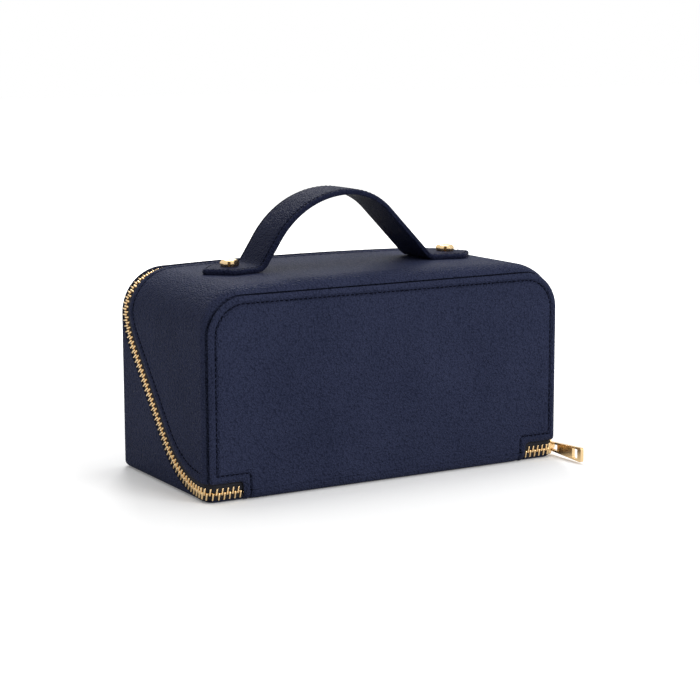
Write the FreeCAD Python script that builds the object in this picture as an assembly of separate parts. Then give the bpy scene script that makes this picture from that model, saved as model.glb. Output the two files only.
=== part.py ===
"""Leather jewellery case with a wrap-round metal zip, a screwed strap handle and a fold-down lid.

Frame: X along the width, Y from front to back, Z up, origin at the middle of the bottom face.
All sizes are millimetres.
"""
import FreeCAD, Part
import math
import os
from FreeCAD import Matrix, Rotation, Vector

# Outside of the case
case_width = 243.0
case_depth = 120.0
case_height = 125.0
top_corner_radius = 28.0
top_crown_radius = 2700.0
front_edge_radius = 7.0
back_edge_radius = 5.0
bottom_edge_radius = 4.0
least_inner_radius = 0.5
tub_height = 20.0

# Layers of the walls, from the outside in
leather = 1.5
tape = 0.7
board = 1.8
lining = 0.7
layer_gap = 0.1
padding_gap = 0.05

# Front panel
panel_proud = 2.0
panel_side_inset = 1.5
panel_top_drop = 6.9
panel_corner_radius = 23.0
panel_foot_radius = 2.0
panel_edge_radius = 1.2
panel_clearance = 0.15
panel_rim = 3.5
notch_width = 21.5
notch_height = 11.5
notch_corner_radius = 2.5
stitch_inset = 4.0
stitch_channel_width = 0.7
stitch_channel_depth = 0.5
front_board = 1.2
front_board_inset = 1.0
front_padding_inset = 5.2
front_padding_foot = 11.0
front_padding_clearance = 1.0

# Leather fold that the lid turns on
fold_radius = 6.0
fold_gap = 0.2

# Zip path on the side walls, and the zip itself
zip_height = 5.4
zip_arc_start = 10.0
zip_lower_radius = 65.0
zip_climb = 49.0
zip_upper_radius = 41.0
zip_back_inset = 7.4
base_edge_gap = 4.2
lid_edge_gap = 4.8
inner_edge_gap = 5.6
tape_width = 13.0
tape_edge = 1.0
tape_foot = 3.4
tape_tuck = 6.0
tooth_pitch = 3.4
tooth_thickness = 1.1
tooth_height = 2.4
tooth_reach = 0.9
tooth_leg = 2.4
tooth_slot_gap = 0.03
stop_length = 2.2
stop_leg = 2.2
stop_tuck = 0.5
path_step = 0.2

# Slider, its bridge and the pull
slider_length = 10.0
slider_offset = 2.0
slider_half_mouth = 5.0
slider_half_tail = 4.2
slider_corner_radius = 1.6
slider_lift = 0.25
slider_outer_plate = 1.2
slider_inner_plate = 1.05
slider_inner_half = 3.4
slider_inner_corner = 0.8
slider_inner_setback = 1.6
slider_play = 0.3
outer_flange = 0.85
outer_flange_inside = 3.05
inner_flange = 0.4
inner_flange_rise = 0.7
flange_tape_gap = 0.15
diamond_start = 2.0
diamond_length = 3.0
diamond_half_width = 0.9
tooth_clearance = 0.25
bridge_width = 2.4
bridge_front = 4.5
bridge_back = 3.0
bridge_rise = 3.55
bridge_bar = 1.1
pull_pivot = 2.0
pull_bar_radius = 0.9
pull_clearance = 0.2
pull_length = 33.0
pull_thickness = 2.2
pull_half_root = 2.75
pull_half_end = 4.6
pull_corner_radius = 1.2
root_window_end = 8.6
root_window_half = 1.5
root_window_half_end = 1.95
end_window_start = 24.2
end_window_length = 5.2
end_window_half = 3.1

# Handle
handle_width = 33.0
handle_outer = 1.6
handle_filler = 1.0
handle_under = 1.5
handle_layer_gap = 0.05
handle_seat_gap = 0.05
handle_tip = 92.5
handle_tip_angle = 100.0
handle_tip_radius = 4.0
handle_shoulder_radius = 8.0
handle_rise = 46.0
handle_left_bend = -66.0
handle_bend_radius = 9.0
handle_left_lean = 57.0
handle_left_radius = 56.0
handle_right_lean = 46.0
handle_right_radius = 38.0
filler_margin = 3.5
screw_place = 76.0
screw_head_across = 10.0
screw_head_height = 3.0
screw_slot_width = 1.3
screw_slot_depth = 1.2
screw_pin_radius = 1.5
post_radius = 2.5
post_flange_radius = 5.0
post_flange = 1.0
hole_clearance = 0.1
backing_length = 30.0
backing_width = 24.0

# Inside
tray_height = 24.0
tray_wall = 2.0
tray_floor = 1.5
tray_clearance = 1.2
tray_front = 14.0
tray_back_clearance = 0.6
divider_thickness = 2.0
divider_drop = 1.0
divider_fit = 0.05
roll_count = 6
roll_height = 19.0
roll_crown_radius = 7.0
roll_foot_radius = 2.0
roll_gap = 0.3
pocket_width = 196.0
pocket_bottom = 42.0
pocket_top = 100.0
pocket_depth = 6.0
pocket_wall = 0.8
pocket_corner_radius = 8.0

# Places worked out from the sizes above
half_width = case_width / 2
front_face = -case_depth / 2
back_face = case_depth / 2
gusset_front = front_face + panel_proud
panel_width = case_width - 2 * panel_side_inset
panel_height = case_height - panel_top_drop
handle_top = case_height + handle_rise
tape_depth = leather + layer_gap
board_depth = tape_depth + tape + layer_gap
lining_depth = board_depth + board + layer_gap
inner_depth = lining_depth + lining
chain_depth = tape_depth + tape / 2
corner_x = half_width - top_corner_radius
crown_z = case_height - top_crown_radius
corner_z = crown_z + math.sqrt((top_crown_radius - top_corner_radius) ** 2 - corner_x ** 2)
crown_angle = math.asin(corner_x / (top_crown_radius - top_corner_radius))
notch_x = panel_width / 2 - notch_width
hinge_y = front_face + fold_radius
hinge_z = fold_radius
panel_bottom = hinge_z + fold_gap
panel_back = front_face + leather + padding_gap + front_board
climb = math.radians(zip_climb)
zip_start_y = front_face + zip_arc_start
zip_top_y = back_face - zip_back_inset
zip_run = (zip_top_y - zip_start_y - zip_lower_radius * math.sin(climb)
           - zip_upper_radius * (1 - math.sin(climb))) / math.cos(climb)
lower_centre_z = zip_height + zip_lower_radius
chain_x = half_width - chain_depth
plate_top_x = half_width + slider_lift + slider_outer_plate
tape_end = notch_x - tape_tuck
floor_x = half_width - inner_depth - layer_gap
floor_front = gusset_front + inner_depth + layer_gap
slider_turn = math.degrees(math.asin(slider_offset / zip_lower_radius))
handle_thickness = handle_outer + handle_filler + handle_under + 2 * handle_layer_gap
far = 400.0


def box(x0, x1, y0, y1, z0, z1):
    """Block between two corners."""
    return Part.makeBox(x1 - x0, y1 - y0, z1 - z0, Vector(x0, y0, z0))


def on_front(y):
    """Places outline points (x, z) in the upright plane at y."""
    return lambda u, v: Vector(u, y, v)


def on_plan(z):
    """Places outline points (x, y) in the level plane at z."""
    return lambda u, v: Vector(u, v, z)


def on_side(x):
    """Places outline points (y, z) in the upright plane at x."""
    return lambda u, v: Vector(x, u, v)


def outline(points, place):
    """Closed wire through (u, v, radius) corners, with each corner rounded to its radius."""
    rounded = []
    count = len(points)
    for index in range(count):
        u, v, radius = points[index]
        corner = Vector(u, v, 0)
        before = Vector(*points[index - 1][:2], 0) - corner
        after = Vector(*points[(index + 1) % count][:2], 0) - corner
        if radius <= 0:
            rounded.append((corner, None, corner))
            continue
        before.normalize()
        after.normalize()
        half = before.getAngle(after) / 2
        middle = before + after
        middle.normalize()
        reach = radius / math.tan(half)
        bulge = radius / math.sin(half) - radius
        rounded.append((corner + before * reach, corner + middle * bulge, corner + after * reach))
    edges = []
    for index in range(count):
        enter, crest, leave = rounded[index]
        if crest is not None:
            edges.append(Part.Arc(place(enter.x, enter.y), place(crest.x, crest.y),
                                  place(leave.x, leave.y)).toShape())
        target = rounded[(index + 1) % count][0]
        if (target - leave).Length > 1e-6:
            edges.append(Part.LineSegment(place(leave.x, leave.y), place(target.x, target.y)).toShape())
    return Part.Wire(edges)


def plate(points, place, push):
    """Solid made by pushing a rounded outline along a vector."""
    return Part.Face(outline(points, place)).extrude(push)


def rectangle(u0, u1, v0, v1, radius):
    """Corners of a rounded rectangle."""
    return [(u0, v0, radius), (u1, v0, radius), (u1, v1, radius), (u0, v1, radius)]


def edges_in_plane(shape, axis, value):
    """Edges that lie wholly in the plane where a coordinate has the given value."""
    found = []
    for edge in shape.Edges:
        places = [getattr(point, axis) for point in edge.discretize(5)]
        if max(abs(place - value) for place in places) < 1e-4:
            found.append(edge)
    return found


def arch_point(depth, angle):
    """Point (x, z) of the arched outline at an inset, where its outward side leans by angle from up."""
    if angle <= crown_angle:
        reach = top_crown_radius - depth
        return reach * math.sin(angle), crown_z + reach * math.cos(angle)
    reach = top_corner_radius - depth
    return corner_x + reach * math.sin(angle), corner_z + reach * math.cos(angle)


def arch_wire(depth, y):
    """Upright outline of the case above the tub, inset by a depth."""
    half = half_width - depth
    bend = (crown_angle + math.pi / 2) / 2
    right_joint = arch_point(depth, crown_angle)
    right_bend = arch_point(depth, bend)
    crest = (0.0, case_height - depth)
    place = on_front(y)

    def left(point):
        return place(-point[0], point[1])

    edges = [
        Part.LineSegment(place(-half, tub_height), place(half, tub_height)).toShape(),
        Part.LineSegment(place(half, tub_height), place(half, corner_z)).toShape(),
        Part.Arc(place(half, corner_z), place(*right_bend), place(*right_joint)).toShape(),
        Part.Arc(place(*right_joint), place(*crest), left(right_joint)).toShape(),
        Part.Arc(left(right_joint), left(right_bend), place(-half, corner_z)).toShape(),
        Part.LineSegment(place(-half, corner_z), place(-half, tub_height)).toShape(),
    ]
    return Part.Wire(edges)


def envelope(depth, least_foot=0.0):
    """Whole form of the case inside its outer face by a depth: a round-edged tub below, an arch above.

    least_foot, where given, takes the place of the bottom edge's own radius.
    """
    half = half_width - depth
    front = gusset_front + depth
    back = back_face - depth
    front_round = front_edge_radius - depth
    back_round = max(back_edge_radius - depth, least_inner_radius)
    foot_round = least_foot or max(bottom_edge_radius - depth, least_inner_radius)
    corners = [(-half, front, front_round), (half, front, front_round),
               (half, back, back_round), (-half, back, back_round)]
    tub = plate(corners, on_plan(depth), Vector(0, 0, tub_height - depth))
    tub = tub.makeFillet(foot_round, edges_in_plane(tub, "z", depth))
    arch = Part.Face(arch_wire(depth, front)).extrude(Vector(0, back - front, 0))
    for y, radius in ((front, front_round), (back, back_round)):
        rim = [edge for edge in edges_in_plane(arch, "y", y) if edge.CenterOfMass.z > tub_height + 1]
        arch = arch.makeFillet(radius, rim)
    return tub.fuse(arch).removeSplitter()


def square_envelope(depth):
    """The same form with square edges, for the linings, which are creased where two walls meet."""
    arch = Part.Face(arch_wire(depth, gusset_front + depth)).extrude(Vector(0, back_face - gusset_front - 2 * depth, 0))
    half = half_width - depth
    tub = box(-half, half, gusset_front + depth, back_face - depth, depth, tub_height)
    return tub.fuse(arch).removeSplitter()


def shell(depth, thickness):
    """Layer of the walls between two depths."""
    return envelope(depth).cut(envelope(depth + thickness))


def lining_skin():
    """Layer of the walls that the linings fill."""
    return square_envelope(lining_depth).cut(square_envelope(inner_depth))


def zip_corners(offset):
    """Joints of the zip's side view (y, z), moved to the lid side by an offset, with its arcs' middles."""
    sine, cosine = math.sin(climb), math.cos(climb)
    lower = zip_lower_radius - offset
    upper = zip_upper_radius - offset
    upper_centre_y = zip_top_y - zip_upper_radius
    run_end_z = lower_centre_z - zip_lower_radius * cosine + zip_run * sine
    upper_centre_z = run_end_z + zip_upper_radius * cosine
    half_lower = climb / 2
    half_upper = (climb + math.pi / 2) / 2
    return {
        "start": (zip_start_y, zip_height + offset),
        "lower_middle": (zip_start_y + lower * math.sin(half_lower), lower_centre_z - lower * math.cos(half_lower)),
        "run_start": (zip_start_y + lower * sine, lower_centre_z - lower * cosine),
        "run_end": (upper_centre_y + upper * sine, upper_centre_z - upper * cosine),
        "upper_middle": (upper_centre_y + upper * math.sin(half_upper), upper_centre_z - upper * math.cos(half_upper)),
        "top": (upper_centre_y + upper, upper_centre_z),
    }


def zip_region(offset, closing):
    """Prism through the case on one side of the zip's side view, moved by an offset."""
    joint = zip_corners(offset)
    place = on_side(-far)
    points = [(-far, zip_height + offset), joint["start"], joint["run_start"], joint["run_end"],
              joint["top"], (joint["top"][0], far)]
    points += closing
    edges = [
        Part.LineSegment(place(*points[0]), place(*points[1])).toShape(),
        Part.Arc(place(*joint["start"]), place(*joint["lower_middle"]), place(*joint["run_start"])).toShape(),
        Part.LineSegment(place(*points[2]), place(*points[3])).toShape(),
        Part.Arc(place(*joint["run_end"]), place(*joint["upper_middle"]), place(*joint["top"])).toShape(),
    ]
    ends = points[4:] + [points[0]]
    for first, second in zip(ends, ends[1:]):
        edges.append(Part.LineSegment(place(*first), place(*second)).toShape())
    return Part.Face(Part.Wire(edges)).extrude(Vector(2 * far, 0, 0))


def lid_side(gap):
    """Everything on the lid's side of the zip, a gap away from the middle of the chain."""
    return zip_region(gap, [(-far, far)])


def base_side(gap):
    """Everything on the base's side of the zip, a gap away from the middle of the chain."""
    return zip_region(-gap, [(far, far), (far, -far), (-far, -far)])


def panel_outline(inset, bottom):
    """Notched outline of the front panel, inset all round but at its foot."""
    inner = notch_x - inset
    outer = panel_width / 2 - inset
    step = notch_height + inset
    top = panel_height - inset
    foot = max(panel_foot_radius - inset, 0)
    inside = notch_corner_radius + inset
    corner = panel_corner_radius - inset
    return [(-inner, bottom, 0), (inner, bottom, 0), (inner, step, inside), (outer, step, foot),
            (outer, top, corner), (-outer, top, corner), (-outer, step, foot), (-inner, step, inside)]


def crown_axis(x):
    """Point of the crowned top at x, and its upward direction."""
    angle = math.asin(x / top_crown_radius)
    direction = Vector(math.sin(angle), 0, math.cos(angle))
    return Vector(0, 0, crown_z) + direction * top_crown_radius, direction


def screw_cylinders(radius, low, high):
    """Round bars on both handle screws' lines, between two heights over the crowned top."""
    bars = []
    for x in (-screw_place, screw_place):
        seat, direction = crown_axis(x)
        bars.append(Part.makeCylinder(radius, high - low, seat + direction * low, direction))
    return bars


def without(shape, cutters):
    """Shape less a list of cutters."""
    return shape.cut(Part.makeCompound(cutters))


def one_solid(shape):
    """Largest solid of a shape, which leaves slivers of a cut behind."""
    return max(shape.Solids, key=lambda solid: solid.Volume)


# Base: tub, back wall and lower side walls

def base_zone(gap):
    """The base's side of the zip, with the whole floor and the whole back wall."""
    floor = box(-floor_x, floor_x, floor_front, far, -far, inner_depth)
    flat_back = half_width - back_edge_radius - padding_gap
    top = case_height - 2 * back_edge_radius
    back = box(-flat_back, flat_back, back_face - inner_depth - layer_gap, far, -far, top)
    return base_side(gap).fuse([floor, back])


def make_base_cover():
    """Outer leather of the base, open at the front where the leather folds into the front panel."""
    flat = half_width - bottom_edge_radius - layer_gap
    floor = box(-flat, flat, -far, far, -far, leather + layer_gap)
    cover = shell(0, leather).common(base_side(base_edge_gap).fuse(floor))
    opening = box(-notch_x - fold_gap, notch_x + fold_gap, -far, hinge_y + fold_gap, -far, tub_height)
    return one_solid(cover.cut(opening))


def make_base_padding():
    """Thin foam between the base's leather and its boards, clear of the zip tape."""
    foam = shell(leather + padding_gap, board_depth - leather - 2 * padding_gap)
    foam = foam.common(base_zone(tape_width + layer_gap))
    room = box(-far, far, gusset_front + front_edge_radius, far, -far, far)
    side = half_width - tape_width
    corner = back_face - back_edge_radius
    rims = [box(-far, -side, -far, 0, -far, tub_height), box(side, far, -far, 0, -far, tub_height),
            box(-far, -side, corner, far, 0, far), box(side, far, corner, far, 0, far),
            box(-far, far, corner, far, case_height - tape_width, far)]
    return one_solid(without(foam.common(room), rims))


def base_boards():
    """Stiff boards of the base: bottom, back and the two low side boards."""
    layer = shell(board_depth, board)
    inner_x = half_width - board_depth - board
    inner_z = board_depth + board
    inner_y = back_face - board_depth - board
    front = gusset_front + front_edge_radius
    below = layer.common(base_zone(inner_edge_gap))
    bottom = below.common(box(-inner_x + layer_gap, inner_x - layer_gap, front, inner_y - layer_gap, 0, inner_z))
    rim = back_edge_radius + layer_gap
    back = Part.Face(arch_wire(rim, inner_y)).extrude(Vector(0, board, 0))
    back = back.fuse(box(-half_width + rim, half_width - rim, inner_y, inner_y + board, inner_z + layer_gap, tub_height))
    left = below.common(box(-far, -inner_x, front, inner_y - layer_gap, inner_z + layer_gap, far))
    right = below.common(box(inner_x, far, front, inner_y - layer_gap, inner_z + layer_gap, far))
    return one_solid(bottom), one_solid(back.removeSplitter()), one_solid(left), one_solid(right)


def make_base_lining():
    """Soft lining of the tub, with the back wall lined to the top."""
    return one_solid(lining_skin().common(base_zone(inner_edge_gap)))


def make_fold():
    """Quarter roll of leather between the front panel and the bottom, on the lid's turning line."""
    half = notch_x - fold_gap
    start = Vector(-half, hinge_y, hinge_z)
    ring = Part.makeCylinder(fold_radius, 2 * half, start, Vector(1, 0, 0))
    bore = Part.makeCylinder(fold_radius - leather, 2 * half, start, Vector(1, 0, 0))
    return ring.cut(bore).common(box(-far, far, -far, hinge_y, -far, hinge_z))


def tray_box():
    """Inside limits of the tray: left, right, front, back and floor."""
    half = half_width - inner_depth - tray_clearance
    return -half, half, front_face + tray_front, back_face - inner_depth - tray_back_clearance, inner_depth + padding_gap


def make_tray():
    """Lift-out tray that stands on the bottom lining."""
    left, right, front, back, floor = tray_box()
    outer = box(left, right, front, back, floor, floor + tray_height)
    inner = box(left + tray_wall, right - tray_wall, front + tray_wall, back - tray_wall,
                floor + tray_floor, floor + tray_height + 1)
    return outer.cut(inner)


def make_dividers():
    """Partitions of the tray: one between the rolls and the wells, and a cross of two between the wells."""
    left, right, front, back, floor = tray_box()
    low = floor + tray_floor
    high = floor + tray_height - divider_drop
    y0 = front + tray_wall + divider_fit
    y1 = back - tray_wall - divider_fit
    x1 = right - tray_wall - divider_fit
    half = divider_thickness / 2
    middle_y = (y0 + y1) / 2
    middle_x = (half + x1) / 2
    spine = box(-half, half, y0, y1, low, high)
    along = box(half, x1, middle_y - half, middle_y + half, low, high)
    across = box(middle_x - half, middle_x + half, middle_y + half, y1, low, high)
    return spine.fuse([along, across]).removeSplitter()


def make_ring_rolls():
    """Row of padded rolls, with slits between them that hold rings."""
    left, right, front, back, floor = tray_box()
    x0 = left + tray_wall + roll_gap
    x1 = -divider_thickness / 2 - roll_gap
    y0 = front + tray_wall + roll_gap / 2
    pitch = (back - front - 2 * tray_wall - roll_gap) / roll_count
    low = floor + tray_floor
    rolls = []
    for index in range(roll_count):
        near = y0 + index * pitch + roll_gap / 2
        side = [(near, low, roll_foot_radius), (near + pitch - roll_gap, low, roll_foot_radius),
                (near + pitch - roll_gap, low + roll_height, roll_crown_radius),
                (near, low + roll_height, roll_crown_radius)]
        rolls.append(plate(side, on_side(x0), Vector(x1 - x0, 0, 0)))
    return Part.makeCompound(rolls)


# Zip: tapes, teeth and stops

def make_tapes():
    """Lower and upper zip tapes, sewn under the edges of the base's and the lid's leather."""
    layer = envelope(tape_depth, least_inner_radius).cut(envelope(tape_depth + tape, least_inner_radius))
    front_gap = box(-tape_end, tape_end, -far, gusset_front + front_edge_radius, -far, far)
    back_flat = half_width - back_edge_radius
    back_low = case_height - 2 * back_edge_radius
    back_gap = box(-back_flat, back_flat, zip_top_y + tape_edge + layer_gap, far, -far, back_low)
    lower = layer.common(base_side(tape_edge)).cut(base_side(tape_width))
    lower = without(lower, [front_gap, back_gap])
    lower = lower.cut(box(-far, far, -far, far, -far, tape_foot))
    upper = layer.common(lid_side(tape_edge)).cut(lid_side(tape_width))
    return one_solid(lower), one_solid(upper.cut(front_gap))


def half_chain():
    """Points of the chain's middle line on the right half with the outward sides there, from top to front."""
    points = []

    def add(x, y, z, normal):
        points.append((Vector(x, y, z), normal))

    joint = zip_corners(0)
    top_y, top_z = joint["top"]
    lean = math.acos((top_z - corner_z) / (top_corner_radius - chain_depth))
    steps = int((top_crown_radius * crown_angle) / path_step)
    for index in range(steps):
        angle = crown_angle * index / steps
        x, z = arch_point(chain_depth, angle)
        add(x, top_y, z, Vector(math.sin(angle), 0, math.cos(angle)))
    steps = int(top_corner_radius * (lean - crown_angle) / path_step)
    for index in range(steps):
        angle = crown_angle + (lean - crown_angle) * index / steps
        x, z = arch_point(chain_depth, angle)
        add(x, top_y, z, Vector(math.sin(angle), 0, math.cos(angle)))

    def add_side(y, z):
        rise = (z - corner_z) / (top_corner_radius - chain_depth)
        angle = math.acos(rise) if rise > 0 else math.pi / 2
        add(arch_point(chain_depth, angle)[0], y, z, Vector(math.sin(angle), 0, math.cos(angle)))

    turn = math.pi / 2 - climb
    steps = int(zip_upper_radius * turn / path_step)
    for index in range(steps):
        heading = math.pi / 2 - turn * index / steps
        add_side(top_y - zip_upper_radius * (1 - math.sin(heading)), top_z - zip_upper_radius * math.cos(heading))
    end_y, end_z = joint["run_end"]
    steps = int(zip_run / path_step)
    for index in range(steps):
        back = zip_run * index / steps
        add_side(end_y - back * math.cos(climb), end_z - back * math.sin(climb))
    steps = int(zip_lower_radius * climb / path_step)
    for index in range(steps):
        heading = climb * (1 - index / steps)
        add_side(zip_start_y + zip_lower_radius * math.sin(heading),
                 lower_centre_z - zip_lower_radius * math.cos(heading))
    corner_y = gusset_front + front_edge_radius
    turn_x = half_width - front_edge_radius
    reach = front_edge_radius - chain_depth
    add_side(zip_start_y, zip_height)
    steps = int(reach * math.pi / 2 / path_step)
    for index in range(steps + 1):
        angle = math.pi / 2 * index / steps
        normal = Vector(math.cos(angle), -math.sin(angle), 0)
        add(turn_x + reach * normal.x, corner_y + reach * normal.y, zip_height, normal)
    add(notch_x - stop_tuck, gusset_front + chain_depth, zip_height, Vector(0, -1, 0))
    return points


class ChainPath:
    """Middle line of the zip chain, from its left front end to its right front end."""

    def __init__(self):
        """Joins the mirrored left half to the right half and measures along them."""
        right = half_chain()
        left = [(Vector(-p.x, p.y, p.z), Vector(-n.x, n.y, n.z)) for p, n in reversed(right[1:])]
        self.samples = left + right
        self.lengths = [0.0]
        for first, second in zip(self.samples, self.samples[1:]):
            self.lengths.append(self.lengths[-1] + (second[0] - first[0]).Length)
        self.length = self.lengths[-1]

    def frame(self, distance):
        """Point, heading and outward side at a distance along the chain."""
        low, high = 0, len(self.lengths) - 2
        while low < high:
            middle = (low + high + 1) // 2
            if self.lengths[middle] <= distance:
                low = middle
            else:
                high = middle - 1
        first, second = self.samples[low], self.samples[low + 1]
        part = (distance - self.lengths[low]) / (self.lengths[low + 1] - self.lengths[low])
        heading = second[0] - first[0]
        point = first[0] + heading * part
        normal = first[1] + (second[1] - first[1]) * part
        heading.normalize()
        normal = normal - heading * normal.dot(heading)
        normal.normalize()
        return point, heading, normal

    def nearest(self, target):
        """Distance along the chain of the sample nearest to a point."""
        index = min(range(len(self.samples)), key=lambda i: (self.samples[i][0] - target).Length)
        return self.lengths[index]


def tooth():
    """One tooth on its own axes: X across the chain away from its middle, Y along it, Z outwards."""
    half = tooth_height / 2
    slot = tape / 2 + tooth_slot_gap
    root = tape_edge - tooth_slot_gap
    side = [(-tooth_reach, -half, 0), (tooth_leg, -half, 0), (tooth_leg, -slot, 0), (root, -slot, 0),
            (root, slot, 0), (tooth_leg, slot, 0), (tooth_leg, half, 0), (-tooth_reach, half, 0)]
    return plate(side, on_front(-tooth_thickness / 2), Vector(0, tooth_thickness, 0))


def placed(shape, point, across, heading, normal):
    """Copy of a shape with its axes turned to a place on the chain."""
    turn = Matrix(across.x, heading.x, normal.x, point.x,
                  across.y, heading.y, normal.y, point.y,
                  across.z, heading.z, normal.z, point.z,
                  0, 0, 0, 1)
    copy = shape.copy()
    copy.Placement = FreeCAD.Placement(turn)
    return copy


def make_teeth(path):
    """Lower and upper rows of teeth, half a pitch apart, left out where the slider's wedge parts them."""
    wedge = Vector(chain_x, zip_start_y + slider_offset - diamond_start - diamond_length / 2, zip_height)
    wedge_place = path.nearest(wedge)
    wedge_room = diamond_length / 2 + tooth_thickness / 2 + tooth_clearance
    count = int((path.length - tooth_pitch) / tooth_pitch)
    start = (path.length - count * tooth_pitch) / 2
    piece = tooth()
    upper = []
    lower = []
    for index in range(2 * count + 1):
        distance = start + index * tooth_pitch / 2
        if abs(distance - wedge_place) < wedge_room:
            continue
        point, heading, normal = path.frame(distance)
        across = heading.cross(normal)
        if index % 2:
            upper.append(placed(piece, point, across, heading, normal))
        else:
            lower.append(placed(piece, point, across * -1, heading * -1, normal))
    return Part.makeCompound(lower), Part.makeCompound(upper)


def make_stops(path):
    """Metal clips on the ends of the lower tape that stop the slider."""
    half = tooth_height / 2
    slot = tape / 2 + tooth_slot_gap
    root = tape_edge - tooth_slot_gap
    side = [(root - 1, -half, 0), (stop_leg, -half, 0), (stop_leg, -slot, 0), (root, -slot, 0),
            (root, slot, 0), (stop_leg, slot, 0), (stop_leg, half, 0), (root - 1, half, 0)]
    clip = plate(side, on_front(-stop_length / 2), Vector(0, stop_length, 0))
    clips = []
    for distance in (-stop_length / 2, path.length + stop_length / 2):
        near = min(max(distance, 0), path.length - 1e-3)
        point, heading, normal = path.frame(near)
        point = point + heading * (distance - near)
        clips.append(placed(clip, point, heading.cross(normal) * -1, heading * -1, normal))
    return Part.makeCompound(clips)


# Slider and pull

def to_rest(shape):
    """Turns slider pieces about the lower arc's centre to where the slider stands at rest."""
    copy = shape.copy()
    copy.rotate(Vector(0, zip_start_y, lower_centre_z), Vector(1, 0, 0), slider_turn)
    return copy


def make_slider():
    """Slider body: outer and inner plates, the side flanges and the wedge between them."""
    mouth = zip_start_y - slider_length / 2
    tail = zip_start_y + slider_length / 2
    middle = zip_height
    shield = [(mouth, middle - slider_half_mouth, slider_corner_radius),
              (tail, middle - slider_half_tail, slider_corner_radius),
              (tail, middle + slider_half_tail, slider_corner_radius),
              (mouth, middle + slider_half_mouth, slider_corner_radius)]
    over = half_width + slider_lift
    under = chain_x - tooth_height / 2 - slider_play
    sole = rectangle(mouth + slider_inner_setback, tail, middle - slider_inner_half, middle + slider_inner_half, slider_inner_corner)
    outer = plate(shield, on_side(over), Vector(slider_outer_plate, 0, 0))
    inner = plate(sole, on_side(under - slider_inner_plate), Vector(slider_inner_plate, 0, 0))
    rails = []
    rail_front = mouth + slider_inner_setback + slider_inner_corner
    rail_back = tail - slider_corner_radius
    for side in (-1, 1):
        first = middle + side * outer_flange_inside
        second = first + side * outer_flange
        rails.append(box(half_width - tape_depth + flange_tape_gap, over, rail_front, rail_back,
                         min(first, second), max(first, second)))
        first = middle + side * slider_inner_half
        second = first - side * inner_flange
        rails.append(box(under, under + inner_flange_rise, rail_front, rail_back,
                         min(first, second), max(first, second)))
    wedge_back = zip_start_y - diamond_start
    wedge = [(wedge_back, middle, 0), (wedge_back - diamond_length / 2, middle + diamond_half_width, 0),
             (wedge_back - diamond_length, middle, 0), (wedge_back - diamond_length / 2, middle - diamond_half_width, 0)]
    post = plate(wedge, on_side(under), Vector(over - under, 0, 0))
    return to_rest(outer.fuse([inner, post] + rails).removeSplitter())


def make_bridge():
    """Bridge on the slider's outer plate that holds the pull's bar."""
    front = zip_start_y - bridge_front
    back = zip_start_y + bridge_back
    foot = plate_top_x
    crest = plate_top_x + bridge_rise
    inside = crest - bridge_bar
    place = lambda u, v: Vector(v, u, zip_height - bridge_width / 2)
    side = [(front, foot, 0), (front + bridge_bar, foot, 0), (front + bridge_bar, inside, bridge_bar / 2),
            (back - bridge_bar, inside, bridge_bar / 2), (back - bridge_bar, foot, 0), (back, foot, 0),
            (back, crest, bridge_bar), (front, crest, bridge_bar)]
    return to_rest(plate(side, place, Vector(0, 0, bridge_width)))


def make_pull():
    """Flat pull with a bar in the bridge, a window round the bridge and another at its free end."""
    turn = math.radians(slider_turn)
    pivot = zip_start_y - pull_pivot * math.cos(turn) + zip_lower_radius * math.sin(turn)
    middle = lower_centre_z - pull_pivot * math.sin(turn) - zip_lower_radius * math.cos(turn)
    x0 = plate_top_x + pull_clearance
    push = Vector(pull_thickness, 0, 0)
    end = pivot - pull_length
    blade = plate([(pivot, middle - pull_half_root, 0), (pivot, middle + pull_half_root, 0),
                   (end, middle + pull_half_end, pull_corner_radius),
                   (end, middle - pull_half_end, pull_corner_radius)], on_side(x0), push)
    bar = Part.makeCylinder(pull_bar_radius, 2 * pull_half_root,
                            Vector(x0 + pull_thickness / 2, pivot, middle - pull_half_root), Vector(0, 0, 1))
    deep = Vector(pull_thickness + 2, 0, 0)
    far_root = pivot - root_window_end
    clear = plate([(pivot + 1, middle - root_window_half, 0), (pivot + 1, middle + root_window_half, 0),
                   (far_root, middle + root_window_half_end, 0), (far_root, middle - root_window_half_end, 0)],
                  on_side(x0 - 1), deep)
    window_near = pivot - end_window_start
    window = plate(rectangle(window_near - end_window_length, window_near, middle - end_window_half,
                             middle + end_window_half, pull_corner_radius / 2), on_side(x0 - 1), deep)
    return without(blade, [clear, window]).fuse(bar).removeSplitter()


# Lid: front panel, gusset, top and handle

def make_lid_cover():
    """Leather gusset of the lid: top, upper sides and the rolled rim round the front panel."""
    cover = shell(0, leather).common(lid_side(lid_edge_gap))
    seat = panel_back + padding_gap
    behind = gusset_front + leather + layer_gap
    recess = plate(panel_outline(-panel_clearance, -far), on_front(-far), Vector(0, seat + far, 0))
    window = plate(panel_outline(panel_rim, -far), on_front(-far), Vector(0, behind + far, 0))
    step = box(-panel_width / 2 + panel_foot_radius, panel_width / 2 - panel_foot_radius, -far, behind,
               -far, notch_height + panel_clearance)
    holes = screw_cylinders(post_radius + hole_clearance, -leather - 1, 1)
    return one_solid(without(cover, [recess, window, step] + holes))


def make_front_panel():
    """Stitched leather of the front, with rounded edges and notches where the zip ends."""
    panel = plate(panel_outline(0, panel_bottom), on_front(front_face), Vector(0, leather, 0))
    rim = [edge for edge in edges_in_plane(panel, "y", front_face) if edge.CenterOfMass.z > panel_bottom + 1e-3]
    panel = panel.makeFillet(panel_edge_radius, rim)
    push = Vector(0, stitch_channel_depth, 0)
    field = plate(panel_outline(stitch_inset, 0), on_front(front_face), push)
    core = plate(panel_outline(stitch_inset + stitch_channel_width, 0), on_front(front_face), push)
    return one_solid(panel.cut(field.cut(core)))


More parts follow.
